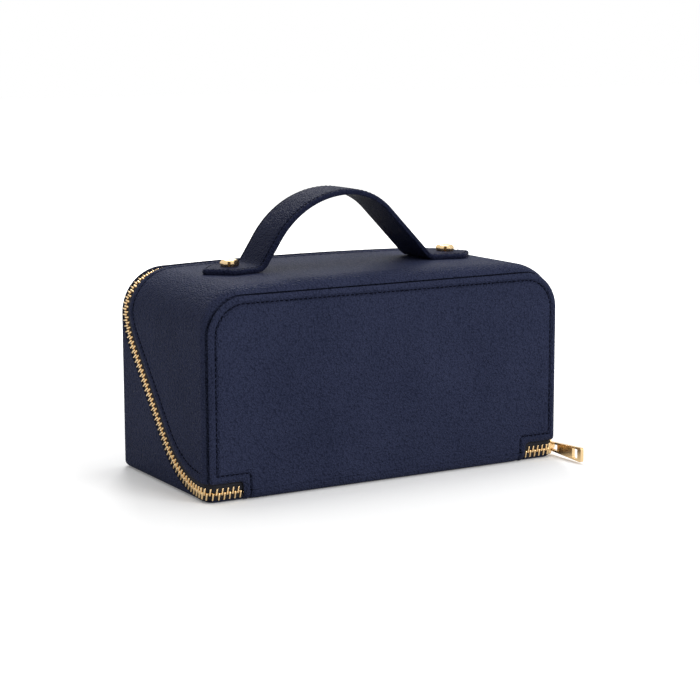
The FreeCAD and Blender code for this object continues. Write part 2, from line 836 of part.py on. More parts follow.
def make_front_board():
    """Stiff board glued behind the front panel."""
    start = front_face + leather + padding_gap
    outer = panel_width / 2 - front_board_inset
    foot = notch_height + front_board_inset
    top = panel_height - front_board_inset
    corner = panel_corner_radius - front_board_inset
    points = [(-outer, foot, 0), (outer, foot, 0), (outer, top, corner), (-outer, top, corner)]
    return plate(points, on_front(start), Vector(0, front_board, 0))


def make_front_padding():
    """Foam between the front board and the lid's lining, inside the zip tape and the gusset's rim."""
    start = panel_back + padding_gap
    stop = gusset_front + lining_depth - padding_gap
    outer = panel_width / 2 - front_padding_inset
    top = panel_height - front_padding_inset
    corner = panel_corner_radius - front_padding_inset
    inner = tape_end - front_padding_clearance
    step = zip_height + tape_width + front_padding_clearance
    points = [(-inner, front_padding_foot, 0), (inner, front_padding_foot, 0), (inner, step, 0), (outer, step, 0),
              (outer, top, corner), (-outer, top, corner), (-outer, step, 0), (-inner, step, 0)]
    return plate(points, on_front(start), Vector(0, stop - start, 0))


def make_top_padding():
    """Thin foam under the gusset's leather, clear of the zip tape and the handle's backing plates."""
    foam = shell(leather + padding_gap, board_depth - leather - 2 * padding_gap)
    foam = foam.common(lid_side(tape_width + layer_gap))
    foam = foam.common(box(-far, far, gusset_front + front_edge_radius, far, -far, far))
    rooms = []
    for x in (-screw_place, screw_place):
        half_x = backing_length / 2 + layer_gap
        half_y = backing_width / 2 + layer_gap
        rooms.append(box(x - half_x, x + half_x, -half_y, half_y, corner_z, far))
    return one_solid(without(foam, rooms))


def lid_boards():
    """Stiff boards of the lid: the crowned top, with seats for the handle posts, and the two sides."""
    layer = shell(board_depth, board).common(lid_side(inner_edge_gap))
    inner_x = half_width - board_depth - board
    front = gusset_front + front_edge_radius
    top = layer.common(box(-corner_x, corner_x, front, far, corner_z, far))
    seat_low = -board_depth - board - 1
    seat_top = -board_depth - board + post_flange + layer_gap
    holes = screw_cylinders(post_radius + hole_clearance, seat_low, 1)
    seats = screw_cylinders(post_flange_radius + hole_clearance, seat_low, seat_top)
    left = layer.common(box(-far, -inner_x, front, far, -far, corner_z))
    right = layer.common(box(inner_x, far, front, far, -far, corner_z))
    return one_solid(without(top, holes + seats)), one_solid(left), one_solid(right)


def make_lid_lining():
    """Soft lining of the lid: front, top and upper sides."""
    return one_solid(lining_skin().common(lid_side(inner_edge_gap)))


def make_lid_pocket():
    """Slip pocket on the inside of the front, open at its top."""
    start = gusset_front + inner_depth + padding_gap
    half = pocket_width / 2
    points = [(-half, pocket_bottom, pocket_corner_radius), (half, pocket_bottom, pocket_corner_radius),
              (half, pocket_top, 0), (-half, pocket_top, 0)]
    inner_radius = pocket_corner_radius - pocket_wall
    inner = half - pocket_wall
    low = pocket_bottom + pocket_wall
    room = [(-inner, low, inner_radius), (inner, low, inner_radius), (inner, pocket_top + 1, 0),
            (-inner, pocket_top + 1, 0)]
    bag = plate(points, on_front(start), Vector(0, pocket_depth, 0))
    return bag.cut(plate(room, on_front(start + pocket_wall), Vector(0, pocket_depth - 2 * pocket_wall, 0)))


def handle_route():
    """Underside of the handle: start point, headings and the runs and bends (length or radius, turn)."""
    seat, direction = crown_axis(screw_place)
    tilt = math.asin(direction.x)
    rise = math.tan(tilt)
    seat = seat + direction * handle_seat_gap
    left_lean = math.radians(handle_left_lean)
    right_lean = math.radians(handle_right_lean)
    bend = handle_bend_radius
    left = handle_left_radius
    right = handle_right_radius

    def tab_height(x):
        return seat.z - (abs(x) - screw_place) * rise

    start_z = tab_height(handle_left_bend)
    top = handle_top - handle_thickness
    climb_up = bend * (math.cos(tilt) - math.cos(left_lean)) + left * (1 - math.cos(left_lean))
    left_run = (top - start_z - climb_up) / math.sin(left_lean)
    crest_x = (handle_left_bend + bend * (math.sin(left_lean) - math.sin(tilt))
               + left_run * math.cos(left_lean) + left * math.sin(left_lean))
    drop = right * (1 - math.cos(right_lean)) + bend * (math.cos(tilt) - math.cos(right_lean))
    reach = right * math.sin(right_lean) + bend * (math.sin(right_lean) - math.sin(tilt))
    goal = top - drop - seat.z + (crest_x + reach - screw_place) * rise
    right_run = goal / (math.sin(right_lean) - rise * math.cos(right_lean))
    tab_left = (handle_left_bend + handle_tip + handle_thickness) / math.cos(tilt)
    right_end = crest_x + reach + right_run * math.cos(right_lean)
    tab_right = (handle_tip + handle_thickness - right_end) / math.cos(tilt)
    start = (-handle_tip - handle_thickness, tab_height(handle_tip + handle_thickness))
    pieces = [("run", tab_left, 0), ("bend", bend, left_lean - tilt), ("run", left_run, 0),
              ("bend", left, -left_lean), ("bend", right, -right_lean), ("run", right_run, 0),
              ("bend", bend, right_lean - tilt), ("run", tab_right, 0)]
    return start, tilt, pieces


def handle_line(offset):
    """Edges of the handle's route in its upright plane, moved up from its underside by an offset."""
    (x, z), heading, pieces = handle_route()
    y = -handle_width
    edges = []

    def raised(px, pz, angle):
        return Vector(px - offset * math.sin(angle), y, pz + offset * math.cos(angle))

    for kind, size, turn in pieces:
        begin = raised(x, z, heading)
        if kind == "run":
            x += size * math.cos(heading)
            z += size * math.sin(heading)
            edges.append(Part.LineSegment(begin, raised(x, z, heading)).toShape())
            continue
        side = 1 if turn > 0 else -1
        centre_x = x - side * size * math.sin(heading)
        centre_z = z + side * size * math.cos(heading)
        places = []
        for part in (0.5, 1.0):
            angle = heading + turn * part
            places.append((centre_x + side * size * math.sin(angle), centre_z - side * size * math.cos(angle), angle))
        middle = raised(*places[0])
        x, z, heading = places[1]
        edges.append(Part.Arc(begin, middle, raised(x, z, heading)).toShape())
    return edges


def handle_layer(low, thickness, margin):
    """One layer of the strap between two offsets, cut to the tongue-ended plan less a margin."""
    bottom = handle_line(low)
    top = handle_line(low + thickness)
    ends = []
    for place in ("first", "last"):
        pair = [edges[0 if place == "first" else -1] for edges in (bottom, top)]
        corners = [edge.Vertexes[0 if place == "first" else -1].Point for edge in pair]
        ends.append(Part.LineSegment(corners[0], corners[1]).toShape())
    wire = Part.Wire(Part.__sortEdges__(bottom + top + ends))
    band = Part.Face(wire).extrude(Vector(0, 2 * handle_width, 0))
    half = handle_width / 2 - margin
    lean = math.radians(handle_tip_angle / 2)
    apex = handle_tip - margin + handle_tip_radius / math.sin(lean) - handle_tip_radius
    shoulder = apex - half / math.tan(lean)
    plan = [(-apex, 0, handle_tip_radius), (-shoulder, -half, handle_shoulder_radius),
            (shoulder, -half, handle_shoulder_radius), (apex, 0, handle_tip_radius),
            (shoulder, half, handle_shoulder_radius), (-shoulder, half, handle_shoulder_radius)]
    tongue = plate(plan, on_plan(0), Vector(0, 0, far))
    return band.common(tongue)


def make_handle():
    """Strap of three layers: outer leather, filler and under leather, with the screw holes through them."""
    under = handle_layer(0, handle_under, 0)
    filler = handle_layer(handle_under + handle_layer_gap, handle_filler, filler_margin)
    outer = handle_layer(handle_under + handle_filler + 2 * handle_layer_gap, handle_outer, 0)
    holes = screw_cylinders(post_radius + hole_clearance, -1, handle_thickness + 2)
    return [one_solid(without(layer, holes)) for layer in (outer, filler, under)]


def make_screws():
    """Slotted six-sided screws that hold the handle, with their pins in the posts."""
    screws = []
    for x in (-screw_place, screw_place):
        seat, direction = crown_axis(x)
        seat = seat + direction * (handle_seat_gap + handle_thickness)
        ring = []
        for index in range(6):
            angle = math.pi / 3 * (index + 0.5)
            radius = screw_head_across / 2 / math.cos(math.pi / 6)
            ring.append((radius * math.cos(angle), radius * math.sin(angle), 1.0))
        head = plate(ring, on_plan(0), Vector(0, 0, screw_head_height))
        slot = box(-far, far, -screw_slot_width / 2, screw_slot_width / 2,
                   screw_head_height - screw_slot_depth, far)
        slot.rotate(Vector(0, 0, 0), Vector(0, 0, 1), 75)
        pin_length = handle_thickness + leather
        pin = Part.makeCylinder(screw_pin_radius, pin_length, Vector(0, 0, -pin_length))
        screw = head.cut(slot).fuse(pin)
        screw.Placement = FreeCAD.Placement(seat, Rotation(Vector(0, 0, 1), direction))
        screws.append(screw)
    return Part.makeCompound(screws)


def make_posts():
    """Flanged posts seated under the top board, which take the handle screws."""
    low = -board_depth - board
    posts = []
    for x in (-screw_place, screw_place):
        seat, direction = crown_axis(x)
        flange = Part.makeCylinder(post_flange_radius, post_flange, seat + direction * low, direction)
        length = handle_seat_gap + handle_thickness - low
        barrel = Part.makeCylinder(post_radius, length, seat + direction * low, direction)
        bore = Part.makeCylinder(screw_pin_radius + hole_clearance, length, seat + direction * low, direction)
        posts.append(flange.fuse(barrel).cut(bore))
    return Part.makeCompound(posts)


def make_backing_plates():
    """Thin plates under the top's leather that spread the handle's load."""
    layer = shell(leather + padding_gap, board_depth - leather - 2 * padding_gap)
    holes = screw_cylinders(post_radius + hole_clearance, -far / 10, 1)
    plates = []
    for x in (-screw_place, screw_place):
        room = box(x - backing_length / 2, x + backing_length / 2, -backing_width / 2, backing_width / 2,
                   corner_z, far)
        plates.append(one_solid(without(layer.common(room), holes)))
    return Part.makeCompound(plates)


def build():
    """All pieces of the case by name."""
    path = ChainPath()
    bottom_board, back_board, base_left, base_right = base_boards()
    top_board, lid_left, lid_right = lid_boards()
    lower_tape, upper_tape = make_tapes()
    lower_teeth, upper_teeth = make_teeth(path)
    strap, core, under = make_handle()
    return {
        "base_cover": make_base_cover(),
        "base_padding": make_base_padding(),
        "bottom_board": bottom_board,
        "back_board": back_board,
        "base_left_board": base_left,
        "base_right_board": base_right,
        "base_lining": make_base_lining(),
        "fold_hinge": make_fold(),
        "jewellery_tray": make_tray(),
        "tray_dividers": make_dividers(),
        "ring_rolls": make_ring_rolls(),
        "lower_zip_tape": lower_tape,
        "lower_zip_teeth": lower_teeth,
        "zip_end_stops": make_stops(path),
        "zip_slider": make_slider(),
        "slider_bridge": make_bridge(),
        "zip_pull": make_pull(),
        "lid_cover": make_lid_cover(),
        "front_panel": make_front_panel(),
        "front_board": make_front_board(),
        "front_padding": make_front_padding(),
        "top_padding": make_top_padding(),
        "top_board": top_board,
        "lid_left_board": lid_left,
        "lid_right_board": lid_right,
        "lid_lining": make_lid_lining(),
        "lid_pocket": make_lid_pocket(),
        "upper_zip_tape": upper_tape,
        "upper_zip_teeth": upper_teeth,
        "handle_strap": strap,
        "handle_core": core,
        "handle_under_leather": under,
        "handle_screws": make_screws(),
        "handle_posts": make_posts(),
        "handle_backing_plates": make_backing_plates(),
    }


os.makedirs("parts", exist_ok=True)
for name, shape in build().items():
    shape.exportStep("parts/" + name + ".step")
    print(name, "solids", len(shape.Solids), "volume", round(shape.Volume, 1))
print("lid turns on y", round(hinge_y, 3), "z", round(hinge_z, 3))
print("slider turns on y", round(zip_start_y, 3), "z", round(lower_centre_z, 3), "rest turn", round(slider_turn, 4))
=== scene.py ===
"""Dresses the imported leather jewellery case: leather, stitches, zip, strap handle, fittings and inside.

Sizes in the classes are millimetres in the part's own frame; meshes are made in metres.
"""
from __future__ import annotations

import logging
import math
from dataclasses import dataclass, field
from enum import Enum
from typing import Callable, Sequence

import bmesh
import bpy
from mathutils import Matrix, Vector

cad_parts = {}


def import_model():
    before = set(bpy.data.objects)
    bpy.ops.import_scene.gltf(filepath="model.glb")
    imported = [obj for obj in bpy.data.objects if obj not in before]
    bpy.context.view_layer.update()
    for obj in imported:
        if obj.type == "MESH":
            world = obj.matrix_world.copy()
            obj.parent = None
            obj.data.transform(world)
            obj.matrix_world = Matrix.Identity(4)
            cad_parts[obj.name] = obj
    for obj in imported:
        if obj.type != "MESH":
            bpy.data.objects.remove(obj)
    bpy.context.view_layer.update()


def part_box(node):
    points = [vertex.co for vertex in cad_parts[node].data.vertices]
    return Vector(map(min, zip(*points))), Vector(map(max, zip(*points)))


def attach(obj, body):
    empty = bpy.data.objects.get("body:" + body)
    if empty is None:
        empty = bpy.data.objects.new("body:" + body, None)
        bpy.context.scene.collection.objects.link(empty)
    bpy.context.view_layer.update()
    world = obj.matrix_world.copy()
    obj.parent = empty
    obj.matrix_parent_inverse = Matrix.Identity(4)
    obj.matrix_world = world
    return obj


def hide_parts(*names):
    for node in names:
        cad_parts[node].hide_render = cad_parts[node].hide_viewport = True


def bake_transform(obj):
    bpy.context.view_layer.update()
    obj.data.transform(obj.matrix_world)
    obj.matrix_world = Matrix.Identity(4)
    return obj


LOG = logging.getLogger("jewellery_case")
MM = 0.001
PER_METRE = 1000.0
SHARP_EDGE = math.radians(48.0)
ROUNDED_EDGE = math.radians(38.0)
FLAT_EDGE = math.radians(0.6)
SAME_POINT = 1e-6
QUARTER = math.pi / 2
DARK_UNTIL = 0.35
LIGHT_FROM = 0.65
TURN_MARK = "turn"

Colour = tuple[float, float, float]
Triple = tuple[float, float, float]
Line = list[tuple[Vector, Vector]]
Socket = bpy.types.NodeSocket


class Body(Enum):
    """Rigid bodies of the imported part."""

    BASE = "base"
    LID = "lid"
    SLIDER = "slider"
    PULL = "pull"


class Slot(Enum):
    """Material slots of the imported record."""

    LEATHER = "navy_leather"
    GOLD = "gold_metal"
    TAPE = "zip_tape"
    SUEDE = "suede_lining"


class NodeTree:
    """Short ways to add and join the nodes of a tree."""

    def __init__(self, tree: bpy.types.NodeTree) -> None:
        """Takes hold of a tree."""
        self.nodes = tree.nodes
        self.links = tree.links

    def add(self, kind: str, **settings: object) -> bpy.types.Node:
        """Adds a node.

        Args:
            kind: Node type.
            settings: Attributes of the node, or values of its inputs by name, spaces as underscores.

        Returns:
            The node.
        """
        node = self.nodes.new(kind)
        for key, value in settings.items():
            label = key.replace("_", " ")
            if label in node.inputs:
                node.inputs[label].default_value = value
            else:
                setattr(node, key, value)
        return node

    def join(self, source: Socket, target: Socket) -> None:
        """Links an output to an input."""
        self.links.new(source, target)

    def calculate(self, operation: str, *terms: Socket | float) -> Socket:
        """Adds a sum of numbers.

        Args:
            operation: Kind of sum.
            terms: Outputs or plain numbers, in the order of the sum's inputs.

        Returns:
            The output with the result.
        """
        node = self.add("ShaderNodeMath", operation=operation)
        for entry, term in zip(node.inputs, terms):
            if isinstance(term, bpy.types.NodeSocket):
                self.join(term, entry)
            else:
                entry.default_value = term
        return node.outputs["Value"]


@dataclass(frozen=True)
class Grain:
    """A noise pattern, and the strength and the depth in metres of the relief that it makes."""

    scale: float
    detail: float
    roughness: float = 0.5
    strength: float = 0.0
    depth: float = 0.0


class Shader(NodeTree):
    """A new material with its surface shader and the nodes that finishes share."""

    def __init__(self, name: str) -> None:
        """Makes the material.

        Args:
            name: Name of the material.
        """
        self.material = bpy.data.materials.new(name)
        self.material.use_nodes = True
        super().__init__(self.material.node_tree)
        self.surface = self.nodes["Principled BSDF"]
        self.place = self.add("ShaderNodeTexCoord").outputs["Object"]

    def dress(self, **settings: object) -> None:
        """Sets inputs of the surface by name, with spaces as underscores."""
        for key, value in settings.items():
            self.surface.inputs[key.replace("_", " ")].default_value = value

    def noise(self, grain: Grain) -> bpy.types.Node:
        """Adds noise on the piece's own coordinates.

        Args:
            grain: Its pattern.

        Returns:
            The noise node.
        """
        node = self.add("ShaderNodeTexNoise", Scale=grain.scale, Detail=grain.detail,
                        Roughness=grain.roughness)
        self.join(self.place, node.inputs["Vector"])
        return node

    def tint(self, source: Socket, *stops: tuple[float, Colour]) -> None:
        """Colours the surface by a number.

        Args:
            source: Output that holds the number.
            stops: The two places and colours between which it changes.
        """
        node = self.add("ShaderNodeValToRGB")
        for element, (place, colour) in zip(node.color_ramp.elements, stops):
            element.position = place
            element.color = (*colour, 1.0)
        self.join(source, node.inputs["Fac"])
        self.join(node.outputs["Color"], self.surface.inputs["Base Color"])

    def bump(self, height: Socket, strength: float, depth: float,
             under: bpy.types.Node | None = None) -> bpy.types.Node:
        """Adds a bump and makes it the surface's normal.

        Args:
            height: Output that holds the height.
            strength: Strength of the bump.
            depth: Its depth in metres.
            under: An earlier bump that this one lies on.

        Returns:
            The bump node.
        """
        node = self.add("ShaderNodeBump", Strength=strength, Distance=depth)
        self.join(height, node.inputs["Height"])
        if under is not None:
            self.join(under.outputs["Normal"], node.inputs["Normal"])
        self.join(node.outputs["Normal"], self.surface.inputs["Normal"])
        return node

    def relief(self, grain: Grain, under: bpy.types.Node | None = None) -> bpy.types.Node:
        """Adds a bump made by noise, over an earlier one if there is one."""
        return self.bump(self.noise(grain).outputs["Fac"], grain.strength, grain.depth, under)


@dataclass(frozen=True)
class PebbledLeather:
    """Grained leather: rounded pebbles, finer pores and a slow change of tone."""

    name: str
    dark: Colour
    light: Colour
    pebble: float = 1.15
    pebble_relief: float = 1.0
    pebble_depth: float = 0.0011
    pebble_blend: float = 0.35
    pebble_share: float = 0.5
    light_until: float = 0.30
    dark_from: float = 0.95
    warp: Grain = Grain(260.0, 2.0, depth=0.0011)
    tone: Grain = Grain(26.0, 4.0, 0.55)
    tone_share: float = 0.35
    tone_floor: float = 0.3
    swell: Grain = Grain(62.0, 2.0, strength=0.22, depth=0.0012)
    folds: Grain = Grain(360.0, 1.0, strength=0.5, depth=0.0013)
    pores: Grain = Grain(2300.0, 3.0, 0.6, 0.2, 0.0003)
    roughness: float = 0.5
    shine: float = 0.012

    def material(self) -> bpy.types.Material:
        """Builds the leather's material.

        Returns:
            The material.
        """
        shader = Shader(self.name)
        shift = shader.add("ShaderNodeVectorMath", operation="MULTIPLY_ADD")
        shift.inputs[1].default_value = (self.warp.depth,) * 3
        shader.join(shader.noise(self.warp).outputs["Color"], shift.inputs[0])
        shader.join(shader.place, shift.inputs[2])
        pebbles = shader.add("ShaderNodeTexVoronoi", Scale=PER_METRE / self.pebble, feature="SMOOTH_F1",
                             Smoothness=self.pebble_blend)
        shader.join(shift.outputs["Vector"], pebbles.inputs["Vector"])
        away = pebbles.outputs["Distance"]
        tone = shader.noise(self.tone).outputs["Fac"]
        calm = shader.calculate("MULTIPLY_ADD", tone, self.tone_share, self.tone_floor)
        mixed = shader.calculate("MULTIPLY_ADD", away, self.pebble_share, calm)
        shader.tint(mixed, (self.light_until, self.light), (self.dark_from, self.dark))
        shader.dress(Roughness=self.roughness, Specular_IOR_Level=self.shine)
        folded = shader.relief(self.folds, shader.relief(self.swell))
        domes = shader.calculate("SUBTRACT", 1.0, away)
        shader.relief(self.pores, shader.bump(domes, self.pebble_relief, self.pebble_depth, folded))
        return shader.material


@dataclass(frozen=True)
class PolishedMetal:
    """Plated metal with a soft polish and faint brushing."""

    name: str
    colour: Colour
    wear: Grain = Grain(420.0, 4.0, 0.65, 0.02, 0.00002)
    worn_tone: float = 0.94
    worn_until: float = 0.3
    bright_from: float = 0.7
    roughness: float = 0.24
    smoothest: float = 0.9
    roughest: float = 1.2

    def material(self) -> bpy.types.Material:
        """Builds the metal's material.

        Returns:
            The material.
        """
        shader = Shader(self.name)
        wear = shader.noise(self.wear).outputs["Fac"]
        worn = tuple(self.worn_tone * part for part in self.colour)
        shader.tint(wear, (self.worn_until, worn), (self.bright_from, self.colour))
        shader.dress(Metallic=1.0)
        gloss = shader.add("ShaderNodeMapRange", To_Min=self.roughness * self.smoothest,
                           To_Max=self.roughness * self.roughest)
        shader.join(wear, gloss.inputs["Value"])
        shader.join(gloss.outputs["Result"], shader.surface.inputs["Roughness"])
        shader.bump(wear, self.wear.strength, self.wear.depth)
        return shader.material


@dataclass(frozen=True)
class WovenCloth:
    """Close woven cloth: crossed waves for its yarns."""

    name: str
    dark: Colour
    light: Colour
    yarn: float = 0.7
    waves_per_unit: float = 6.0
    wander: float = 0.6
    strength: float = 0.35
    depth: float = 0.0003
    roughness: float = 0.85
    shine: float = 0.2

    def material(self) -> bpy.types.Material:
        """Builds the cloth's material.

        Returns:
            The material.
        """
        shader = Shader(self.name)
        waves = []
        for axis in ("X", "Y", "Z"):
            wave = shader.add("ShaderNodeTexWave", Scale=PER_METRE / self.yarn / self.waves_per_unit,
                              Distortion=self.wander, bands_direction=axis)
            shader.join(shader.place, wave.inputs["Vector"])
            waves.append(wave.outputs["Fac"])
        yarns = shader.calculate("MULTIPLY_ADD", shader.calculate("MAXIMUM", waves[0], waves[1]), waves[2])
        shader.tint(yarns, (0.0, self.dark), (1.0, self.light))
        shader.dress(Roughness=self.roughness, Specular_IOR_Level=self.shine)
        shader.bump(yarns, self.strength, self.depth)
        return shader.material


@dataclass(frozen=True)
class BrushedSuede:
    """Soft brushed cloth with a nap that lies in patches."""

    name: str
    dark: Colour
    light: Colour
    nap: Grain = Grain(34.0, 5.0, 0.6)
    fibre: Grain = Grain(2600.0, 2.0, strength=0.3, depth=0.0003)
    roughness: float = 0.95
    shine: float = 0.15
    sheen: float = 0.35

    def material(self) -> bpy.types.Material:
        """Builds the suede's material.

        Returns:
            The material.
        """
        shader = Shader(self.name)
        shader.tint(shader.noise(self.nap).outputs["Fac"], (DARK_UNTIL, self.dark), (LIGHT_FROM, self.light))
        shader.dress(Roughness=self.roughness, Specular_IOR_Level=self.shine, Sheen_Weight=self.sheen)
        shader.relief(self.fibre)
        return shader.material


@dataclass(frozen=True)
class SpeckledStock:
    """Pressed board, thread or foam: one tone with a fine speckle."""

    name: str
    dark: Colour
    light: Colour
    speckle: float = 900.0
    detail: float = 3.0
    strength: float = 0.2
    depth: float = 0.0002
    roughness: float = 0.8
    shine: float = 0.08

    def material(self) -> bpy.types.Material:
        """Builds the stock's material.

        Returns:
            The material.
        """
        shader = Shader(self.name)
        noise = shader.noise(Grain(self.speckle, self.detail)).outputs["Fac"]
        shader.tint(noise, (DARK_UNTIL, self.dark), (LIGHT_FROM, self.light))
        shader.dress(Roughness=self.roughness, Specular_IOR_Level=self.shine)
        shader.bump(noise, self.strength, self.depth)
        return shader.material


@dataclass
class Finishes:
    """All materials of the case, made once."""

    leather: bpy.types.Material = field(init=False)
    strap: bpy.types.Material = field(init=False)
    gold: bpy.types.Material = field(init=False)
    tape: bpy.types.Material = field(init=False)
    thread: bpy.types.Material = field(init=False)
    suede: bpy.types.Material = field(init=False)
    board: bpy.types.Material = field(init=False)
    foam: bpy.types.Material = field(init=False)

    def __post_init__(self) -> None:
        """Builds each finish."""
        self.leather = PebbledLeather("navy_pebbled_leather", dark=(0.0158, 0.0196, 0.0425),
                                      light=(0.0415, 0.0490, 0.0960)).material()
        self.strap = PebbledLeather("navy_strap_leather", dark=(0.0080, 0.0103, 0.0260),
                                    light=(0.0255, 0.0300, 0.0640), pebble=1.0, pebble_relief=0.8).material()
        self.gold = PolishedMetal("pale_gold", (0.86, 0.62, 0.33)).material()
        self.tape = WovenCloth("black_zip_tape", dark=(0.004, 0.004, 0.006),
                               light=(0.016, 0.016, 0.022)).material()
        self.thread = SpeckledStock("navy_thread", dark=(0.0012, 0.0016, 0.005), light=(0.003, 0.004, 0.010),
                                    speckle=1800.0, roughness=0.7, shine=0.02).material()
        self.suede = BrushedSuede("taupe_suede", dark=(0.19, 0.165, 0.15),
                                  light=(0.27, 0.24, 0.22)).material()
        # Board colour is near-black painted shade: where the front board shows through the front groove it
        # reads as the groove's shade, not as grey board.
        self.board = SpeckledStock("board_painted_groove_shade", dark=(0.004, 0.005, 0.010),
                                   light=(0.007, 0.008, 0.014)).material()
        self.foam = SpeckledStock("dark_foam", dark=(0.012, 0.013, 0.020), light=(0.02, 0.021, 0.03),
                                  speckle=500.0).material()


def show(piece: bpy.types.Object) -> bpy.types.Object:
    """Puts an object into the scene and gives it back."""
    bpy.context.scene.collection.objects.link(piece)
    return piece


def as_mesh(build: bmesh.types.BMesh, name: str) -> bpy.types.Mesh:
    """Turns a finished build into a mesh.

    Args:
        build: The build, which is freed.
        name: Name of the mesh.

    Returns:
        The mesh.
    """
    mesh = bpy.data.meshes.new(name)
    build.to_mesh(mesh)
    build.free()
    return mesh


def finish_mesh(name: str, mesh: bpy.types.Mesh, material: bpy.types.Material) -> bpy.types.Object:
    """Puts a mesh into the scene with its material and smooth faces.

    Args:
        name: Name of the piece.
        mesh: Its mesh, in metres.
        material: Its finish.

    Returns:
        The new object.
    """
    mesh.materials.clear()
    mesh.materials.append(material)
    mesh.shade_smooth()
    mesh.set_sharp_from_angle(angle=SHARP_EDGE)
    return show(bpy.data.objects.new(name, mesh))


def skin(name: str, loops: Sequence[Sequence[Vector]], material: bpy.types.Material) -> bpy.types.Object:
    """Closed surface through loops of points, with a face over the first and the last loop.

    Args:
        name: Name of the piece.
        loops: Loops of equally many points, in millimetres.
        material: Its finish.

    Returns:
        The new object.
    """
    build = bmesh.new()
    rows = [[build.verts.new(point * MM) for point in loop] for loop in loops]
    count = len(rows[0])
    for first, second in zip(rows, rows[1:]):
        for index in range(count):
            after = (index + 1) % count
            build.faces.new((first[index], first[after], second[after], second[index]))
    build.faces.new(rows[0])
    build.faces.new(rows[-1])
    bmesh.ops.recalc_face_normals(build, faces=build.faces)
    return finish_mesh(name, as_mesh(build, name), material)


def settle(piece: bpy.types.Object, body: Body, slot: Slot, *nodes: str) -> None:
    """Lets a piece ride on a body and hides the nodes that it stands for.

    Args:
        piece: The finished piece.
        body: Body that carries it.
        slot: Record slot that its finish belongs to; not used.
        nodes: Nodes that it replaces.
    """
    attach(piece, body.value)
    if nodes:
        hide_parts(*nodes)
    LOG.info("%s rides on %s", piece.name, body.value)


def apply_modifiers(piece: bpy.types.Object) -> bpy.types.Object:
    """Turns a piece and its modifiers into a plain mesh.

    Args:
        piece: The piece with live modifiers.

    Returns:
        The same object, with the evaluated mesh and no modifier.
    """
    bpy.context.view_layer.update()
    graph = bpy.context.evaluated_depsgraph_get()
    mesh = bpy.data.meshes.new_from_object(piece.evaluated_get(graph))
    piece.modifiers.clear()
    piece.data = mesh
    return piece


def softened(node: str, name: str, material: bpy.types.Material, width: float,
             segments: int = 2) -> bpy.types.Object:
    """Copy of a node whose sharp edges are rounded.

    Args:
        node: Node to copy.
        name: Name of the new piece.
        material: Its finish.
        width: Width of the rounding, in millimetres.
        segments: Faces across the rounding.

    Returns:
        The new object, not yet riding.
    """
    build = bmesh.new()
    build.from_mesh(bpy.data.objects[node].data)
    bmesh.ops.remove_doubles(build, verts=build.verts, dist=SAME_POINT)
    bmesh.ops.dissolve_limit(build, angle_limit=FLAT_EDGE, verts=build.verts, edges=build.edges)
    piece = finish_mesh(name, as_mesh(build, name), material)
    bevel = piece.modifiers.new("rounding", "BEVEL")
    bevel.width = width * MM
    bevel.segments = segments
    bevel.limit_method = "ANGLE"
    bevel.angle_limit = ROUNDED_EDGE
    bevel.harden_normals = True
    return apply_modifiers(piece)


def framed(line: Line, step: float) -> list[tuple[Vector, Vector, Vector]]:
    """Evenly spaced places on a line.

    Args:
        line: Corners of the line with the outward side there.
        step: Wanted distance between places.

    Returns:
        Each place with the line's heading and outward side there.
    """
    points = [point for point, _ in line]
    lengths = [0.0]
    for first, second in zip(points, points[1:]):
        lengths.append(lengths[-1] + (second - first).length)
    count = max(1, round(lengths[-1] / step))
    places = []
    index = nearest = 0
    for number in range(count):
        target = lengths[-1] * (number + 0.5) / count
        while lengths[index + 1] < target:
            index += 1
        start, end = points[index], points[index + 1]
        point = start.lerp(end, (target - lengths[index]) / max(lengths[index + 1] - lengths[index], 1e-9))
        heading = (end - start).normalized()
        while (nearest + 1 < len(points)
               and (points[nearest + 1] - point).length < (points[nearest] - point).length):
            nearest += 1
        side = line[nearest][1]
        places.append((point, heading, (side - heading * side.dot(heading)).normalized()))
    return places


